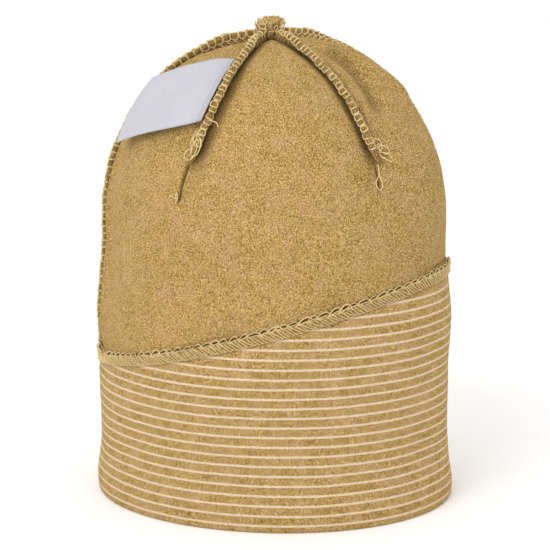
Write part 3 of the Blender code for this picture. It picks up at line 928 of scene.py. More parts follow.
def ridge_line(name):
    """Stations along a ridge: foot, up, side, run, height, thickness and distance along it, as arrays."""
    back = name == "back_seam"
    seam = SEAMS[name]
    azimuth = seam["azimuth"] * DEG
    end = 0.0 if back else DART_END_RISE * DEG
    rises = np.linspace(RIDGE_START_RISE * DEG, end, BACK_STATIONS if back else DART_STATIONS)
    heights = np.full(len(rises), DOME_BASE)
    if back:
        foot = needle_height(drifted(np.array(azimuth), np.array(0.0))) + BAND_ALLOWANCE + 2 * GAP
        heights = np.concatenate([heights, np.linspace(DOME_BASE, foot, WALL_STATIONS)[1:]])
        rises = np.concatenate([rises, np.zeros(WALL_STATIONS - 1)])
    azimuths = np.full(len(rises), azimuth)
    feet = crown_point(azimuths, rises, heights, lift=RIDGE_SEAT - CLOTH_SINK)
    turned = drifted(azimuths, rises)
    up = outward(turned, rises)
    side = np.stack([np.cos(turned), np.sin(turned), np.zeros_like(turned)], axis=-1)
    crowded = smooth((rises - RIDGE_CROWDING_RISE * DEG) / (RIDGE_CROWDING_SPAN * DEG))
    tall = RIDGE_HEIGHT + RIDGE_CROWDING * crowded
    lean = seam["lean"] * DEG * smooth((RIDGE_START_RISE * DEG - rises) / (seam["ease"] * DEG))
    thick = np.full(len(rises), RIDGE_THICKNESS)
    if back:
        folded = np.where(rises > 0, 0.0, 1 - smooth((heights - heights[-1]) / BACK_SEAM_FOLD))
        lean = lean + (FOLDED_LEAN * DEG - lean) * folded
        tall = tall + (FOLDED_HEIGHT - tall) * folded
        tall = tall + BACK_SWELL * bell(rises / DEG - BACK_SWELL_RISE, BACK_SWELL_REACH) * (rises > 0)
    else:
        share = smooth((rises - end) * (CROWN_TOP - DOME_BASE) / RIDGE_END_TAPER)
        tall = RIDGE_END_HEIGHT + (tall - RIDGE_END_HEIGHT) * share
        thick = thick * (RIDGE_END_SHARE + (1 - RIDGE_END_SHARE) * share)
    if name == "dart_front_left":
        below = (FRONT_LEFT_DROP_RISE * DEG - rises) / (FRONT_LEFT_DROP_SPAN * DEG)
        tall = tall - FRONT_LEFT_DROP * smooth(below)
    leaned_up = up * np.cos(lean)[:, None] + side * np.sin(lean)[:, None]
    leaned_side = side * np.cos(lean)[:, None] - up * np.sin(lean)[:, None]
    run = np.gradient(feet, axis=0)
    step = np.linalg.norm(run, axis=1)
    return {"foot": feet, "up": leaned_up, "side": leaned_side, "run": run / step[:, None],
            "tall": tall, "thick": thick, "along": distances_along(feet)}


def at_distance(line, distance):
    """One station of a ridge line at a distance along it."""
    def read(key):
        values = line[key]
        if values.ndim == 1:
            return float(np.interp(distance, line["along"], values))
        return np.array([np.interp(distance, line["along"], values[:, k]) for k in range(3)])
    return {key: read(key) for key in ("foot", "up", "side", "run", "tall", "thick")}


# Half of a ridge's outline from its foot to its top, as shares of half its thickness and of its height, and
# the painted shade of its cloth at each place, standing in for the shadow at its foot and between the threads
# over it
RIDGE_PROFILE = ((0.95, 0.0), (0.84, 0.2), (0.82, 0.45), (0.9, 0.66), (0.97, 0.8), (0.84, 0.91), (0.5, 0.98),
                 (0.0, 1.0))
RIDGE_PAINTED_SHADES = (0.34, 0.26, 0.22, 0.26, 0.32, 0.36, 0.34, 0.34)
CLOTH_SHARE = 0.9
CLOTH_DROP = 0.25 * MM
# Unevenness of a ridge's thickness and of its height, as (share, length of wave)
THICKNESS_WAVES = ((0.04, 1.9 * MM), (0.04, 0.83 * MM))
HEIGHT_WAVE = (0.015, 1.3 * MM)


def ridge_cloth(name, material, slot):
    """The two cut edges of jersey inside an overlocked ridge."""
    line = ridge_line(name)
    outline = [*RIDGE_PROFILE, *((-a, b) for a, b in reversed(RIDGE_PROFILE[:-1]))]
    painted_shades = [*RIDGE_PAINTED_SHADES, *reversed(RIDGE_PAINTED_SHADES[:-1])]
    rows = []
    for k, along in enumerate(line["along"]):
        wave = 1 + sum(share * math.sin(along / length) for share, length in THICKNESS_WAVES)
        half = line["thick"][k] / 2 * wave * CLOTH_SHARE
        tall = (line["tall"][k] - CLOTH_DROP) * (1 + HEIGHT_WAVE[0] * math.sin(along / HEIGHT_WAVE[1] + 2))
        side, up = line["side"][k] * half, line["up"][k] * tall
        rows.append([line["foot"][k] + side * a + up * b for a, b in outline])
    columns = len(outline)
    faces, corners = grid_faces(len(rows), columns, wrap=True)
    faces += end_caps(len(rows), columns)
    girth = 2 * RIDGE_HEIGHT + RIDGE_THICKNESS
    uvs = []
    for face in corners:
        uvs += [(k / columns * girth, line["along"][r]) for r, k in face]
    uvs += [(0, 0)] * (2 * columns)
    piece = build_mesh(name + "_cloth", rows, faces, uvs, painted_shades * len(rows))
    clean_normals(piece)
    return finish_piece(piece, material, slot, name)


def over_ridge(distances, stand):
    """Places (y, z) across a ridge of full size, at a stand-off from its cloth.

    The signed distances are measured from the middle of its top, over its corner and down its flank.
    """
    half, tall = RIDGE_THICKNESS / 2 * CLOTH_SHARE, RIDGE_HEIGHT - CLOTH_DROP
    path = np.array([(half * a, tall * b) for a, b in reversed(RIDGE_PROFILE)])
    run = np.gradient(path, axis=0)
    run /= np.linalg.norm(run, axis=1, keepdims=True)
    path = path + np.stack([-run[:, 1], run[:, 0]], axis=1) * stand
    path[0, 0] = 0.0
    far = distances_along(path)
    y, z = [np.interp(np.abs(distances), far, path[:, k]) for k in (0, 1)]
    return np.sign(distances) * y, z


def surface_ring(radius, half_length, low, high, stand, corners=12):
    """A closed ring of thread lying on a ridge, from one distance across it to another."""
    turns = np.linspace(0, 2 * math.pi, corners + 1) + math.pi / 2
    x = half_length * np.sign(np.cos(turns)) * np.abs(np.cos(turns)) ** 0.8
    s = (low + high) / 2 + (high - low) / 2 * np.sign(np.sin(turns)) * np.abs(np.sin(turns)) ** 0.7
    # the ring's leading half passes over the ring before it
    y, z = over_ridge(s, stand * radius)
    return tube(np.stack([x, y, z + radius * 0.7 * np.maximum(x / half_length, 0)], axis=1), radius, 4)


def ladder_stitch(thread, pitch, doubled):
    """One overlock stitch over a ridge: a ring over the cut edge and a thread down each flank.

    With doubled set it has a ring over each corner. X runs along the seam and Y across it, and the ridge's
    foot is at Z 0.
    """
    edge = RIDGE_THICKNESS / 2 + 0.4 * MM
    if doubled:
        r = 1.3 * thread.radius
        parts = [surface_ring(r, 0.52 * pitch, -0.2 * MM, 3.5 * MM, 0.5),
                 surface_ring(r, 0.52 * pitch, -3.5 * MM, 0.2 * MM, 0.5)]
        spans = (3.6, 4.4, 5.1)
    else:
        r = 1.25 * thread.radius
        parts = [surface_ring(r, 0.54 * pitch, -edge, edge, 0.5)]
        spans = (1.9, 3.2, 5.1)
    for sign in (-1, 1):
        y, z = over_ridge(sign * np.array(spans) * MM, 0.5 * r)
        parts.append(tube(np.stack([np.array([0.1, -0.2, -0.5]) * pitch, y, z], axis=1), 0.75 * r, 4))
    return joined(parts)


def ladder_sites(name, pitch, seed):
    """Places of the stitches along a ridge, a little unevenly spaced."""
    line = ridge_line(name)
    rng = np.random.default_rng(seed)
    sites, distance = [], 0.6 * MM
    stop = line["along"][-1] - (0.5 if name == "back_seam" else 2.4) * pitch
    while distance < stop:
        here = at_distance(line, distance)
        thick = here["thick"] / RIDGE_THICKNESS
        sites.append({"place": here["foot"], "run": here["run"], "up": here["up"],
                      "size": (1.0, thick, here["tall"] / RIDGE_HEIGHT)})
        distance += pitch * rng.uniform(0.93, 1.07)
    return sites


# Operators


def settings():
    """The scene's cloth, thread, label and stage settings."""
    scene = bpy.context.scene
    return scene.beanie_cloth, scene.beanie_thread, scene.beanie_label, scene.beanie_stage


def shared_material(name, maker, *values):
    """A material made once and then found by its name."""
    return bpy.data.materials.get(name) or maker(name, *values)


def plain_jersey(cloth):
    """The jersey without stripes."""
    return shared_material("ochre_jersey_cloth", jersey_material, cloth, False)


def overlock_cotton(thread):
    """The thread of all the seams."""
    return shared_material("overlock_cotton", thread_material, thread)


CROWN_COLUMNS = 432
# Inset of each face of the crown, and the rows of its wall and of its dome
CROWN_LAYERS = ((0.0, 34, 78), (JERSEY, 12, 30))
CROWN_TUCK = 0.2 * MM


def crown_relief(azimuth, rise, height, row, radius):
    """How far the crown's waves, puckers, gathers and folds push its cloth out, and the painted shade on it."""
    calm = 1 - smooth((rise - 80 * DEG) / (9 * DEG))
    angle, is_back = seam_facts(azimuth)
    sewn = np.where(is_back, 1.0, smooth((rise - (DART_END_RISE - 6) * DEG) / (12 * DEG)))
    pucker = PUCKER * np.sin(row[:, 2] / PUCKER_LENGTH + 5 * angle) * bell(angle * radius, PUCKER_REACH) * sewn
    above = height - needle_height(drifted(azimuth, rise))
    gathers = CROWN_GATHERS * np.sin(azimuth * 97 + 2 * np.sin(azimuth * 9))
    gathers = gathers * np.where(rise > 0, 0, bell(above, CROWN_GATHERS_REACH))
    waves = soft_waves(row, 3, 46 * MM, 0.42 * MM) + soft_waves(row, 8, 17 * MM, 0.10 * MM)
    folds, crease_painted_shade = fold_relief(azimuth, rise, radius)
    roll = BACK_ROLL_LOW + (BACK_ROLL_HIGH - BACK_ROLL_LOW) * smooth(rise / (42 * DEG))
    roll = roll * bell(np.abs(angle * radius) - BACK_ROLL_PLACE, BACK_ROLL_WIDTH) * is_back
    roll = roll * (1 - smooth((rise - 62 * DEG) / (22 * DEG))) * smooth(above / (22 * MM))
    sheltered_painted_shade = painted_shade_under_ridges(azimuth, radius, sewn * calm * smooth(above / (8 * MM)))
    return (waves + pucker + gathers + folds + roll) * calm, np.maximum(crease_painted_shade, sheltered_painted_shade)


def crown_layer(azimuth, inset, wall_rows, dome_rows):
    """Rows of one face of the crown, up to the apex, with the map heights, map widths and painted shades of
    each.

    The widths come three to a row: from the gore's middle, at its left edge and at its right edge.
    """
    columns = len(azimuth)
    turned = drifted(azimuth, np.zeros(columns))
    foot = needle_height(turned) - CROWN_TUCK
    share = gore_place(azimuth)[1]
    travelled = np.zeros(columns)
    rows, ups, widths, painted_shade = [], [], [], []
    for k in range(wall_rows + dome_rows + 1):
        if k < wall_rows:
            rise = np.zeros(columns)
            height = foot + (DOME_BASE - foot) * k / wall_rows
        else:
            rise = np.full(columns, 90 * DEG * ((k - wall_rows) / dome_rows))
            height = np.full(columns, DOME_BASE)
        row = crown_point(azimuth, rise, height, inset=inset)
        radius = np.linalg.norm(row[:, :2], axis=1)
        push, painted_shade_here = crown_relief(azimuth, rise, height, row, radius)
        row = row + outward(drifted(azimuth, rise), rise) * push[:, None]
        if rows:
            travelled = travelled + np.linalg.norm(row - rows[-1], axis=1)
        rows.append(row)
        ups.append(needle_height(turned) + travelled)
        widths.append(((share - 0.5) * GORE * radius, -0.5 * GORE * radius, 0.5 * GORE * radius))
        painted_shade += list(painted_shade_here if inset == 0 else 0 * painted_shade_here)
    return rows, ups, widths, painted_shade


def gore_uvs(corners, ups, widths, columns):
    """Map places of the crown's faces: across each gore from its middle, and up its cloth."""
    per_gore = columns // GORES
    uvs = []
    for face in corners:
        last = max(k for _, k in face)
        for r, k in face:
            from_middle, left, right = widths[r]
            if k % per_gore:
                across = from_middle
            else:
                across = right if k == last else left
            uvs.append((across[k % columns], ups[r][k % columns]))
    return uvs


class BEANIE_OT_crown(bpy.types.Operator):
    """Makes the crown's jersey, with the pull of its seams and its soft folds"""

    bl_idname = "beanie.crown"
    bl_label = "Make crown"

    def execute(self, context):
        cloth = settings()[0]
        shares = np.arange(CROWN_COLUMNS) / CROWN_COLUMNS * GORES
        # columns stand closer together beside the seams, where the creases are
        shares = shares - SEAM_CROWDING * np.sin(2 * math.pi * shares) / (2 * math.pi)
        azimuth = BACK_AZIMUTH + shares * GORE
        points, faces, uvs, painted_shade = [], [], [], []
        for inset, wall_rows, dome_rows in CROWN_LAYERS:
            rows, ups, widths, painted_shades = crown_layer(azimuth, inset, wall_rows, dome_rows)
            start = sum(len(layer) for layer in points)
            quads, corners = grid_faces(len(rows), CROWN_COLUMNS, True, start, flip=inset > 0)
            faces += quads
            uvs += gore_uvs(corners, ups, widths, CROWN_COLUMNS)
            painted_shade += painted_shades
            points.append(np.concatenate(rows))
        faces += bridge(CROWN_COLUMNS, len(points[0]))
        uvs += [(0, 0)] * (4 * CROWN_COLUMNS)
        piece = build_mesh("crown_cloth", np.concatenate(points), faces, uvs, painted_shade)
        clean_normals(piece)
        finish_piece(piece, plain_jersey(cloth), "ochre_jersey", "crown")
        return {"FINISHED"}


def band_outside(azimuth, height):
    """How far the band's outer face stands off the head's oval at a height."""
    above_flare = (height - RIM_FLARE_MIDDLE) / RIM_FLARE_REACH
    to_front = (1 + np.cos(azimuth)) / 2
    below_seam = (needle_height(azimuth) - height - BULGE_REACH / 2) / BULGE_REACH
    bulge = FRONT_BULGE * to_front * (np.exp(-below_seam * below_seam) - math.exp(-0.25))
    return RIM_FLARE * np.exp(-above_flare * above_flare) + np.maximum(bulge, 0.0)


def on_band(azimuth, stand, height):
    """Points at a stand-off and height beside the head's oval."""
    point = oval(azimuth, 0.0) + outward(azimuth, np.zeros_like(azimuth)) * stand[..., None]
    point[..., 2] = height
    return point


BAND_COLUMNS = 384
BAND_OUTER_ROWS = 58
BAND_FOLD_ROWS = 12
BAND_INNER_ROWS = 24
BAND_GIRTH = math.pi * (BAND_HALF_LENGTH + BAND_HALF_WIDTH)


def band_relief(azimuth, height, top, row):
    """How far the waves, gathers and sag of the band push its cloth out."""
    waves = soft_waves(row, 5, 40 * MM, 0.30 * MM) + soft_waves(row, 6, 15 * MM, 0.08 * MM)
    drop = top - height
    to_front = (1 + np.cos(azimuth - BAG_AZIMUTH * DEG)) / 2
    bag = BAND_BAG * to_front * bell(drop - BAG_DROP, BAG_REACH)
    gathers = BAND_GATHERS * np.sin(azimuth * 101 + 2 * np.sin(azimuth * 11))
    gathers = gathers * bell(drop - BAND_GATHERS_DROP, BAND_GATHERS_REACH)
    return (waves + gathers + bag) * smooth(height / (8 * MM)) * smooth(drop / (5 * MM))


class BEANIE_OT_band(bpy.types.Operator):
    """Makes the striped band, folded double at the rim"""

    bl_idname = "beanie.band"
    bl_label = "Make band"

    def execute(self, context):
        cloth = settings()[0]
        material = shared_material("striped_jersey_cloth", jersey_material, cloth, True)
        azimuth = np.arange(BAND_COLUMNS) / BAND_COLUMNS * 2 * math.pi
        top = needle_height(azimuth) - GAP / 2
        fold = BAND_THICKNESS / 2
        rows, ups = [], []
        for k in range(BAND_OUTER_ROWS):
            height = top + (fold - top) * k / (BAND_OUTER_ROWS - 1)
            stand = band_outside(azimuth, height)
            push = band_relief(azimuth, height, top, on_band(azimuth, stand, height))
            rows.append(on_band(azimuth, stand + push, height))
            ups.append(height)
        foot_stand = band_outside(azimuth, np.full(BAND_COLUMNS, fold))
        for k in range(1, BAND_FOLD_ROWS):
            turn = math.pi * k / BAND_FOLD_ROWS
            height = np.full(BAND_COLUMNS, fold * (1 - math.sin(turn)))
            rows.append(on_band(azimuth, foot_stand - fold * (1 - math.cos(turn)), height))
            ups.append(height)
        for k in range(BAND_INNER_ROWS):
            height = fold + (top - fold) * k / (BAND_INNER_ROWS - 1)
            rows.append(on_band(azimuth, band_outside(azimuth, height) - BAND_THICKNESS, height))
            ups.append(height)
        faces, corners = grid_faces(len(rows), BAND_COLUMNS, True)
        faces += bridge(BAND_COLUMNS, (len(rows) - 1) * BAND_COLUMNS)
        uvs = []
        for face in corners:
            uvs += [(k / BAND_COLUMNS * BAND_GIRTH, ups[r][k % BAND_COLUMNS]) for r, k in face]
        for height in top:
            uvs += [(0, height)] * 4
        piece = build_mesh("band_cloth", np.concatenate(rows), faces, uvs)
        clean_normals(piece)
        finish_piece(piece, material, "striped_jersey", "band")
        return {"FINISHED"}


# Outline of the band seam's cut edges: stand-off from the head's oval in mm, share of height, painted shade.
# The painted shade darkens the cloth between the slanted threads, and most of all a channel above the band's
# own cut edge, where the crown's edge stands behind the loops.
ALLOWANCE_PROFILE = (
    {"stand": -0.90, "up": -0.04, "painted_shade": 0.0}, {"stand": -0.50, "up": -0.12, "painted_shade": 0.0},
    {"stand": -0.16, "up": -0.08, "painted_shade": 0.0}, {"stand": 0.06, "up": 0.00, "painted_shade": 0.06},
    {"stand": 0.20, "up": 0.10, "painted_shade": 0.14}, {"stand": 0.36, "up": 0.24, "painted_shade": 0.2},
    {"stand": 0.50, "up": 0.40, "painted_shade": 0.22}, {"stand": 0.60, "up": 0.56, "painted_shade": 0.22},
    {"stand": 0.54, "up": 0.64, "painted_shade": 0.3}, {"stand": 0.34, "up": 0.69, "painted_shade": 0.5},
    {"stand": -0.05, "up": 0.71, "painted_shade": 0.8}, {"stand": -0.35, "up": 0.76, "painted_shade": 0.85},
    {"stand": -0.50, "up": 0.84, "painted_shade": 0.7}, {"stand": -0.60, "up": 0.91, "painted_shade": 0.2},
    {"stand": -0.72, "up": 0.99, "painted_shade": 0.0}, {"stand": -1.05, "up": 1.02, "painted_shade": 0.0},
    {"stand": -1.00, "up": 0.60, "painted_shade": 0.0},
)


def seam_point(azimuth, stand, up):
    """Points beside the band seam: a stand-off from the head's oval and a share of its height."""
    return on_band(azimuth, np.broadcast_to(stand, azimuth.shape) + seam_rest(azimuth),
                   needle_height(azimuth) + BAND_ALLOWANCE * up)


def seam_rest(azimuth):
    """How far the band's bulge carries its seam out, so that the seam lies flush with the band."""
    return band_outside(azimuth, needle_height(azimuth) - GAP)


class BEANIE_OT_band_seam(bpy.types.Operator):
    """Makes the overlocked seam between band and crown, with its slanted threads and edge loops"""

    bl_idname = "beanie.band_seam"
    bl_label = "Make band seam"

    def execute(self, context):
        cloth, thread = settings()[:2]
        columns = 480
        azimuth = np.arange(columns) / columns * 2 * math.pi
        # the edge is a little uneven, in how far it stands out and in how high it goes
        ripple = 0.05 * MM * np.sin(azimuth * 120) + 0.08 * MM * np.sin(azimuth * 43 + 1)
        wander = 0.02 * np.sin(azimuth * 61) + 0.015 * np.sin(azimuth * 140 + 1)
        rows, painted_shade = [], []
        for row in ALLOWANCE_PROFILE:
            on_top = smooth(np.array(row["up"] * 4))
            rows.append(seam_point(azimuth, row["stand"] * MM + ripple * on_top, row["up"] + wander * on_top))
            painted_shade += [row["painted_shade"]] * columns
        faces, corners = grid_faces(len(rows) + 1, columns, True)
        faces = [[i % (len(rows) * columns) for i in face] for face in faces]
        uvs = []
        for face in corners:
            uvs += [(k / columns * BAND_GIRTH, rows[r % len(rows)][k % columns][2]) for r, k in face]
        piece = build_mesh("band_seam_cloth", np.concatenate(rows), faces, uvs, painted_shade)
        clean_normals(piece)
        finish_piece(piece, plain_jersey(cloth), "overlock_thread", "band_seam")
        self.stitch(thread, overlock_cotton(thread))
        return {"FINISHED"}

    def stitch(self, thread, look):
        """Adds the threads."""
        fine = np.linspace(0, 2 * math.pi, 2001)
        line = seam_point(fine, 0.0, 0.0)
        lengths = distances_along(line)
        rng = np.random.default_rng(thread.seed + 21)

        def site(distance, up_share, stand):
            azimuth = np.array([np.interp(distance, lengths, fine)])
            place = seam_point(azimuth, stand, up_share)[0]
            ahead = seam_point(azimuth + 0.01, stand, up_share)[0]
            run = (ahead - place) / np.linalg.norm(ahead - place)
            out = outward(azimuth, np.zeros(1))[0]
            return {"place": place, "run": run, "up": out, "size": (1.0, 1.0, 1.0)}

        def spaced(pitch, spread):
            count = int(round(lengths[-1] / pitch))
            return [(k + rng.uniform(-spread, spread)) * lengths[-1] / count for k in range(count)]

        # X of a stitch runs to the right as seen from outside, Y up the hat and Z out of it
        r, tall = thread.radius, BAND_ALLOWANCE
        slant = 1.9 * MM
        fall = [(-slant, 0.36 * tall, -0.4 * r), (-slant * 0.85, 0.30 * tall, 0.7 * r),
                (-slant * 0.3, 0.1 * tall, 1.0 * r), (slant * 0.4, -0.12 * tall, 1.0 * r),
                (slant * 0.95, -0.28 * tall, 0.5 * r), (slant * 1.1, -0.32 * tall, -0.8 * r)]
        sites = [site(d, 0.30, 0.52 * MM) for d in spaced(thread.slant_pitch, 0.12)]
        stitch_run("band_seam_slants", sites, tube(fall, 0.95 * r, 4), look, thread, wobble=0.12)

        pitch = thread.loop_pitch
        arch = [(-0.66 * pitch, -0.20 * tall, 0.6 * r), (-0.52 * pitch, -0.09 * tall, 1.2 * r),
                (-0.26 * pitch, 0.04 * tall, 0.6 * r), (0.08 * pitch, 0.13 * tall, 0.2 * r),
                (0.36 * pitch, 0.16 * tall, 0.5 * r), (0.56 * pitch, 0.09 * tall, 1.0 * r),
                (0.68 * pitch, -0.06 * tall, 1.3 * r), (0.82 * pitch, -0.22 * tall, 0.8 * r)]
        under = [(-0.58 * pitch, -0.15 * tall, 0.8 * r), (-0.3 * pitch, -0.17 * tall, 1.0 * r),
                 (0.1 * pitch, -0.09 * tall, 1.2 * r), (0.5 * pitch, -0.08 * tall, 0.8 * r)]
        cross = [(-0.44 * pitch, 0.00 * tall, 0.8 * r), (-0.30 * pitch, -0.14 * tall, 1.5 * r),
                 (-0.10 * pitch, -0.26 * tall, 1.2 * r), (0.06 * pitch, -0.38 * tall, 0.6 * r)]
        loop = joined([tube(arch, 1.0 * r, 4), tube(under, 0.9 * r, 4), tube(cross, 0.85 * r, 4)])
        sites = [site(d, 0.79, 0.42 * MM) for d in spaced(pitch, 0.14)]
        stitch_run("band_seam_loops", sites, loop, look, thread, wobble=0.15, variation=0.26)

        step = 2.2 * MM
        chain = [(-0.55 * step, 0.1 * MM, 0.2 * r), (-0.2 * step, -0.18 * MM, 0.9 * r),
                 (0.2 * step, 0.16 * MM, 0.9 * r), (0.58 * step, -0.08 * MM, 0.2 * r)]
        sites = [site(d, 0.0, 0.14 * MM) for d in spaced(step, 0.05)]
        stitch_run("band_seam_needle_line", sites, tube(chain, 0.6 * r, 4), look, thread, wobble=0.05)


class BEANIE_OT_ridges(bpy.types.Operator):
    """Makes the back seam and the darts, with the threads over their edges"""

    bl_idname = "beanie.ridges"
    bl_label = "Make seam ridges"

    def execute(self, context):
        cloth, thread = settings()[:2]
        material, look = plain_jersey(cloth), overlock_cotton(thread)
        for number, name in enumerate(SEAMS):
            pitch = thread.back_rung_pitch if name == "back_seam" else thread.rung_pitch
            doubled = name in ("back_seam", "dart_front_left")
            wobble, variation = (0.04, 0.06) if doubled else (0.08, 0.1)
            ridge_cloth(name, material, "overlock_thread")
            sites = ladder_sites(name, pitch, thread.seed + number)
            stitch = ladder_stitch(thread, pitch, doubled)
            stitch_run(name + "_threads", sites, stitch, look, thread, wobble, variation)
        return {"FINISHED"}


# The right dart's ladder runs up the knot, over its top and down to a cut end: azimuth, distance from the
# knot's middle and height over its foot, in degrees and mm
KNOT_LADDER = ((-96, 6.6, 1.6), (-96, 5.9, 3.8), (-96, 5.8, 6.0), (-94, 4.4, 8.2), (-60, 1.2, 9.0),
               (24, 3.6, 9.0), (30, 6.3, 8.0), (30, 7.3, 6.2))
KNOT_COLUMNS = 40
KNOT_ROWS = 30
KNOT_DRAWN_IN = 0.3 * MM
KNOT_CAP_SHARES = (0.8, 0.45, 0.1)
KNOT_CAP_RISE = 0.35 * MM
KNOT_BINDINGS = 26
# The bindings' turn from one to the next, in radians, which spreads them evenly round the knot
GOLDEN_TURN = 2.399963


def knot_foot():
    """The middle of the knot's foot, on the crown's apex."""
    return crown_point(np.array(BACK_AZIMUTH), np.array(90 * DEG), lift=KNOT_SEAT)


def knot_surface(up, turn, grow=0.0):
    """Points of the knot's surface by height share and turn, grown outwards."""
    ups = [row["up"] for row in KNOT_SECTIONS]
    along = np.array([math.sin(KNOT_HEADING), -math.cos(KNOT_HEADING), 0])
    side = np.array([math.cos(KNOT_HEADING), math.sin(KNOT_HEADING), 0])
    length = np.interp(up, ups, [KNOT_NECK * r["neck"] + KNOT_LENGTH * r["head"] for r in KNOT_SECTIONS])
    width = np.interp(up, ups, [KNOT_NECK * r["neck"] + KNOT_WIDTH * r["head"] for r in KNOT_SECTIONS])
    shift = np.interp(up, ups, [r["shift"] for r in KNOT_SECTIONS]) * KNOT_SHIFT
    forward = shift + (length / 2 + grow) * np.cos(turn)
    sideways = (width / 2 + grow) * np.sin(turn)
    point = knot_foot() + forward[..., None] * along + sideways[..., None] * side
    point[..., 2] += up * KNOT_HEIGHT
    return point


class BEANIE_OT_knot(bpy.types.Operator):
    """Makes the knot where all the seams cross, bound with thread"""

    bl_idname = "beanie.knot"
    bl_label = "Make knot"

    def execute(self, context):
        cloth, thread = settings()[:2]
        look = overlock_cotton(thread)
        self.cloth(plain_jersey(cloth))
        self.ladder(thread, look)
        self.bindings(thread, look)
        return {"FINISHED"}

    def cloth(self, material):
        """Adds the lump of jersey."""
        turns = np.arange(KNOT_COLUMNS) / KNOT_COLUMNS * 2 * math.pi
        rows = []
        for k in range(KNOT_ROWS):
            height_share = k / KNOT_ROWS
            lumps = 0.22 * MM * np.sin(3 * turns + 9 * height_share)
            lumps = lumps + 0.16 * MM * np.sin(5 * turns - 14 * height_share) - KNOT_DRAWN_IN
            rows.append(knot_surface(np.full(KNOT_COLUMNS, k / (KNOT_ROWS - 1)), turns, lumps))
        edge = rows[-1]
        middle = edge.mean(axis=0)
        for shrink in KNOT_CAP_SHARES:
            row = middle + (edge - middle) * shrink
            row[:, 2] += KNOT_CAP_RISE * (1 - shrink)
            rows.append(row)
        faces, corners = grid_faces(len(rows), KNOT_COLUMNS, True)
        faces += end_caps(len(rows), KNOT_COLUMNS)
        uvs = []
        for face in corners:
            uvs += [(k * 0.6 * MM, r * 0.4 * MM) for r, k in face]
        uvs += [(0, 0)] * (2 * KNOT_COLUMNS)
        # A faint, even painted shade over all of the knot's cloth
        painted_shade = np.full(len(rows) * KNOT_COLUMNS, 0.05)
        piece = build_mesh("knot_cloth", np.concatenate(rows), faces, uvs, painted_shade)
        clean_normals(piece)
        finish_piece(piece, material, "overlock_thread", "seam_knot")

    def ladder(self, thread, look):
        """Adds the rings that carry the right dart's ladder over the knot."""
        foot = knot_foot()
        path = [foot + MM * np.array([away * math.sin(azimuth * DEG), -away * math.cos(azimuth * DEG), up])
                for azimuth, away, up in KNOT_LADDER]
        middle = foot + np.array([0, 0, 0.55 * KNOT_HEIGHT])
        outs = [(place - middle) / np.linalg.norm(place - middle) for place in path]
        path, outs = eased(path, 12), eased(outs, 12)
        along = distances_along(path)
        runs = np.gradient(path, axis=0)
        rings = []
        for distance in np.arange(0.4 * MM, along[-1], 0.8 * thread.rung_pitch):
            place, out, run = [np.array([np.interp(distance, along, values[:, k]) for k in range(3)])
                               for values in (path, outs, runs)]
            rings.append({"place": place, "run": run / np.linalg.norm(run), "up": out / np.linalg.norm(out),
                          "size": (1.0, 1.0, 1.0)})
        r = 1.15 * thread.radius
        half_width, bow = 1.5 * MM, 0.5 * MM
        turns = np.linspace(0, 2 * math.pi, 13)
        ring = np.stack([0.5 * thread.rung_pitch * np.cos(turns), half_width * np.sin(turns),
                         0.7 * r - bow * np.abs(np.sin(turns)) ** 3 + 0.6 * r * np.cos(turns)], axis=1)
        stitch_run("knot_ladder", rings, tube(ring, r, 4), look, thread, wobble=0.07)

    def bindings(self, thread, look):
        """Adds the short threads all over the knot."""
        r = thread.radius
        loop = [(-0.9 * MM, -0.7 * MM, 0.0), (-0.5 * MM, 0.2 * MM, 1.84 * r), (0.1 * MM, 0.8 * MM, 2.07 * r),
                (0.6 * MM, 0.4 * MM, 2.07 * r), (0.5 * MM, -0.4 * MM, 1.84 * r), (0.9 * MM, -1.0 * MM, 0.0)]
        rng = np.random.default_rng(thread.seed + 40)
        sites = []
        for k in range(KNOT_BINDINGS):
            up = np.array(0.3 + 0.62 * (k + 0.5) / KNOT_BINDINGS)
            turn = np.array(k * GOLDEN_TURN)
            place = knot_surface(up, turn)
            run = knot_surface(up, turn + 0.1) - place
            out = knot_surface(up, turn, 1.0 * MM) - place
            sites.append({"place": place, "run": run / np.linalg.norm(run), "up": out / np.linalg.norm(out),
                          "size": np.full(3, rng.uniform(0.8, 1.2))})
        stitch_run("knot_threads", sites, tube(eased(loop, 3), 0.92 * r), look, thread, wobble=0.5)


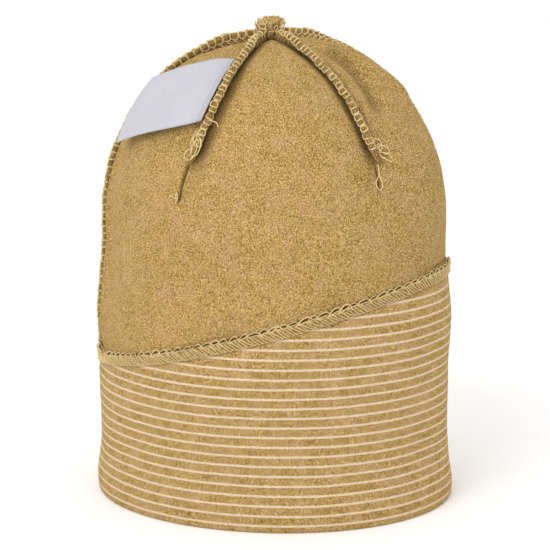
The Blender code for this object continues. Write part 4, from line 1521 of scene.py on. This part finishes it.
# Loose loops and thread tails, as places (azimuth, dome angle, stand-off in mm) on the crown
LOOSE_THREADS = (
    ((-96.6, 27.4, 2.6), (-97.6, 29.8, 3.2), (-96.4, 31.8, 3.8), (-94.4, 31.0, 4.2), (-94.0, 28.4, 4.0),
     (-95.6, 26.8, 3.2), (-97.0, 28.4, 3.0)),
    ((-95.6, 31.0, 3.6), (-93.4, 30.4, 4.4), (-92.4, 27.6, 4.2), (-93.2, 25.2, 3.6), (-95.4, 25.4, 3.0),
     (-96.6, 27.6, 3.0), (-95.6, 30.4, 3.8)),
    ((-94.4, 27.8, 3.0), (-97.2, 27.4, 3.0), (-98.4, 25.4, 2.6), (-97.2, 23.8, 2.2), (-95.2, 24.6, 2.6),
     (-94.6, 26.8, 3.2)),
    ((-97.0, 34.0, 3.2), (-97.6, 31.6, 3.6), (-95.8, 29.6, 4.6), (-94.0, 28.6, 4.8), (-93.6, 26.2, 4.0),
     (-95.0, 24.2, 2.6), (-96.6, 23.4, 1.4)),
    ((-94.4, 33.6, 4.0), (-95.8, 32.6, 4.4), (-96.6, 30.2, 4.2), (-95.4, 28.4, 3.8), (-96.0, 26.0, 3.0),
     (-97.6, 24.2, 1.6)),
    ((-93.0, 37.2, 4.0), (-91.4, 36.8, 3.6), (-90.0, 36.4, 2.6), (-89.2, 35.2, 1.6)),
    ((-99.0, 13.2, -0.2), (-99.3, 11.9, 0.3), (-100.6, 12.3, 0.5), (-102.4, 12.5, 0.4)),
    ((-98.9, 11.4, 0.1), (-98.7, 12.6, 0.5), (-99.4, 13.6, 0.3), (-99.6, 12.2, 0.3), (-99.0, 11.2, 0.1)),
    ((-35.8, 29.4, 1.8), (-34.6, 30.4, 2.0), (-33.0, 29.7, 2.0), (-32.9, 28.2, 1.8), (-34.1, 27.6, 1.6),
     (-35.2, 28.4, 1.7), (-35.0, 29.8, 1.8)),
    ((-35.2, 27.4, 1.6), (-33.2, 28.0, 1.9), (-31.2, 27.0, 1.8), (-30.7, 25.7, 1.6), (-31.8, 25.0, 1.4),
     (-33.6, 25.8, 1.5), (-35.5, 26.6, 1.4)),
    ((-35.4, 26.0, 1.4), (-33.6, 25.8, 1.6), (-31.4, 24.7, 1.6), (-30.5, 23.2, 1.3), (-31.3, 22.5, 1.0),
     (-32.8, 23.4, 1.3), (-35.0, 25.1, 1.3)),
    ((-36.0, 28.6, 2.2), (-34.6, 26.9, 2.6), (-35.2, 25.4, 2.3), (-34.2, 24.0, 1.5), (-32.9, 24.2, 1.1)),
    ((-36.4, 27.4, 2.4), (-34.2, 26.4, 2.4), (-33.0, 27.6, 2.0), (-34.4, 28.6, 2.0), (-35.2, 26.8, 2.2)),
    ((-36.7, 22.4, 0.6), (-36.9, 20.6, 0.5), (-37.6, 18.8, 0.5), (-39.0, 17.2, 0.5), (-39.1, 15.8, 0.5),
     (-38.3, 14.6, 0.5), (-37.4, 15.2, 0.6), (-37.0, 16.8, 0.6), (-37.3, 18.4, 0.7), (-37.1, 20.4, 0.7)),
)


class BEANIE_OT_loose_threads(bpy.types.Operator):
    """Makes the loose loops at the ends of the two front darts, and the thread tails below them"""

    bl_idname = "beanie.loose_threads"
    bl_label = "Make loose threads"

    def execute(self, context):
        thread = settings()[1]
        look = overlock_cotton(thread)
        parts = []
        for places in LOOSE_THREADS:
            path = [crown_point(np.array(azimuth * DEG), np.array(rise * DEG), lift=stand * MM)
                    for azimuth, rise, stand in places]
            parts.append(tube(eased(path, 6), 0.95 * thread.radius, 6))
        piece = build_mesh("loose_threads", *joined(parts))
        clean_normals(piece)
        finish_piece(piece, look, "overlock_thread")
        return {"FINISHED"}


LABEL_STEPS_ALONG = 60
LABEL_STEPS_ACROSS = 30
LABEL_SEAT = 0.25 * MM
LABEL_SAG = 0.35 * MM
LABEL_CURL = 0.5 * MM


class BEANIE_OT_label(bpy.types.Operator):
    """Makes the woven label, sewn into the right dart and sprung clear of the crown"""

    bl_idname = "beanie.label"
    bl_label = "Make label"

    def execute(self, context):
        label = settings()[2]
        keys = ("lift", "low_azimuth", "low_rise", "high_azimuth", "high_rise")
        table = np.array([[row[key] for key in keys] for row in LABEL_SECTIONS])
        path = eased(table, LABEL_STEPS_ALONG // (len(LABEL_SECTIONS) - 1))
        share = np.linspace(0, 1, LABEL_STEPS_ACROSS + 1)[None, :]
        lift, low_azimuth, low_rise, high_azimuth, high_rise = [path[:, k][:, None] for k in range(5)]
        azimuth = (low_azimuth + (high_azimuth - low_azimuth) * share) * DEG
        rise = (low_rise + (high_rise - low_rise) * share) * DEG
        along = np.linspace(0, 1, len(path))[:, None]
        sag = LABEL_SAG * np.sin(along * 7.5) * np.sin(share * math.pi)
        sag = sag + LABEL_CURL * along ** 3 * (share - 0.5) ** 2
        stand = lift * LABEL_SPRING + LABEL_SEAT + sag
        rows, columns = azimuth.shape
        points = np.concatenate([crown_point(azimuth, rise, lift=stand + thickness).reshape(-1, 3)
                                 for thickness in (LABEL_THICKNESS, 0.0)])

        def on_ribbon(r, c):
            return r / rows * label.length, c / columns * label.width

        faces, corners = grid_faces(rows, columns, False)
        back_faces, back_corners = grid_faces(rows, columns, False, rows * columns, flip=True)
        uvs = []
        for face in corners + back_corners:
            uvs += [on_ribbon(r, c) for r, c in face]
        rim = [(0, c) for c in range(columns)] + [(r, columns - 1) for r in range(1, rows)]
        rim += [(rows - 1, c) for c in range(columns - 2, -1, -1)] + [(r, 0) for r in range(rows - 2, 0, -1)]
        faces = faces + back_faces
        for (r0, c0), (r1, c1) in zip(rim, rim[1:] + rim[:1]):
            first, second = r0 * columns + c0, r1 * columns + c1
            faces.append([second, first, rows * columns + first, rows * columns + second])
            uvs += [on_ribbon(r0, c0)] * 4
        piece = build_mesh("label_ribbon", points, faces, uvs)
        clean_normals(piece)
        finish_piece(piece, label_material(label), "label_ribbon", "label")
        return {"FINISHED"}


FLOOR_HALF_WIDTH = 3
LIGHT_AIM_HEIGHT = 0.11


class BEANIE_OT_stage(bpy.types.Operator):
    """Makes the floor, the lights and the camera"""

    bl_idname = "beanie.stage"
    bl_label = "Make stage"

    def execute(self, context):
        stage = settings()[3]
        scene = context.scene
        scene.view_settings.view_transform = "Standard"
        half = FLOOR_HALF_WIDTH
        corners = [(-half, -half, 0), (half, -half, 0), (half, half, 0), (-half, half, 0)]
        floor = build_mesh("floor", corners, [[0, 1, 2, 3]])
        material, _, surface = new_material("studio_floor", 0.9)
        surface.inputs["Base Color"].default_value = (*stage.floor, 1)
        floor.data.materials.append(material)

        world = bpy.data.worlds.new("studio")
        world.use_nodes = True
        background = world.node_tree.nodes["Background"]
        background.inputs["Color"].default_value = (1, 1, 1, 1)
        background.inputs["Strength"].default_value = stage.sky
        scene.world = world

        ahead = Vector((-math.sin(stage.camera_azimuth), math.cos(stage.camera_azimuth), 0))
        right = ahead.cross(Vector((0, 0, 1)))
        centre = Vector((0, 0, LIGHT_AIM_HEIGHT))
        for name, place, size, power in (
                ("key", centre - ahead * 0.75 - right * 0.45 + Vector((0, 0, 0.75)), 0.7, stage.key),
                ("fill", centre - ahead * 0.6 + right * 0.9 + Vector((0, 0, 0.25)), 0.8, 0.15 * stage.key)):
            light = bpy.data.lights.new(name, "AREA")
            light.shape = "DISK"
            light.size = size
            light.energy = power
            lamp = bpy.data.objects.new(name, light)
            lamp.location = place
            lamp.rotation_euler = (place - centre).to_track_quat("Z", "Y").to_euler()
            scene.collection.objects.link(lamp)

        elevation = stage.camera_elevation
        view = (ahead * math.cos(elevation) - Vector((0, 0, math.sin(elevation)))).normalized()
        side = view.cross(Vector((0, 0, 1))).normalized()
        top = side.cross(view)
        turn = Matrix.Rotation(-stage.camera_roll, 3, view)
        side, top = turn @ side, turn @ top
        target = Vector((0, 0, stage.target_height)) + right * stage.target_side
        lens = bpy.data.cameras.new("camera")
        lens.sensor_width = 36
        lens.lens = stage.focal_length
        lens.clip_end = 20
        camera = bpy.data.objects.new("camera", lens)
        axes = Matrix((side, top, -view)).transposed().to_4x4()
        camera.matrix_world = Matrix.Translation(target - view * stage.camera_distance) @ axes
        scene.collection.objects.link(camera)
        scene.camera = camera
        return {"FINISHED"}


class BEANIE_PT_panel(bpy.types.Panel):
    """Lists what the beanie is made of"""

    bl_label = "Beanie"
    bl_idname = "BEANIE_PT_panel"
    bl_space_type = "VIEW_3D"
    bl_region_type = "UI"
    bl_category = "Beanie"

    def draw(self, context):
        for group in settings():
            box = self.layout.box()
            for name in group.__annotations__:
                box.prop(group, name)
        for operator in OPERATORS:
            self.layout.operator(operator.bl_idname)


OPERATORS = (BEANIE_OT_stage, BEANIE_OT_crown, BEANIE_OT_band, BEANIE_OT_band_seam, BEANIE_OT_ridges,
             BEANIE_OT_knot, BEANIE_OT_loose_threads, BEANIE_OT_label)
GROUPS = {"beanie_cloth": BEANIE_PG_cloth, "beanie_thread": BEANIE_PG_thread,
          "beanie_label": BEANIE_PG_label, "beanie_stage": BEANIE_PG_stage}


def register():
    """Adds the settings, operators and panel to Blender."""
    for name, group in GROUPS.items():
        bpy.utils.register_class(group)
        setattr(bpy.types.Scene, name, bpy.props.PointerProperty(type=group))
    for each in (*OPERATORS, BEANIE_PT_panel):
        bpy.utils.register_class(each)


def unregister():
    """Takes them away again."""
    for each in reversed((*OPERATORS, BEANIE_PT_panel)):
        bpy.utils.unregister_class(each)
    for name, group in GROUPS.items():
        delattr(bpy.types.Scene, name)
        bpy.utils.unregister_class(group)


def main():
    """Makes every piece in order."""
    register()
    for operator in OPERATORS:
        group, name = operator.bl_idname.split(".")
        getattr(getattr(bpy.ops, group), name)()


if __name__ == "__main__":
    main()
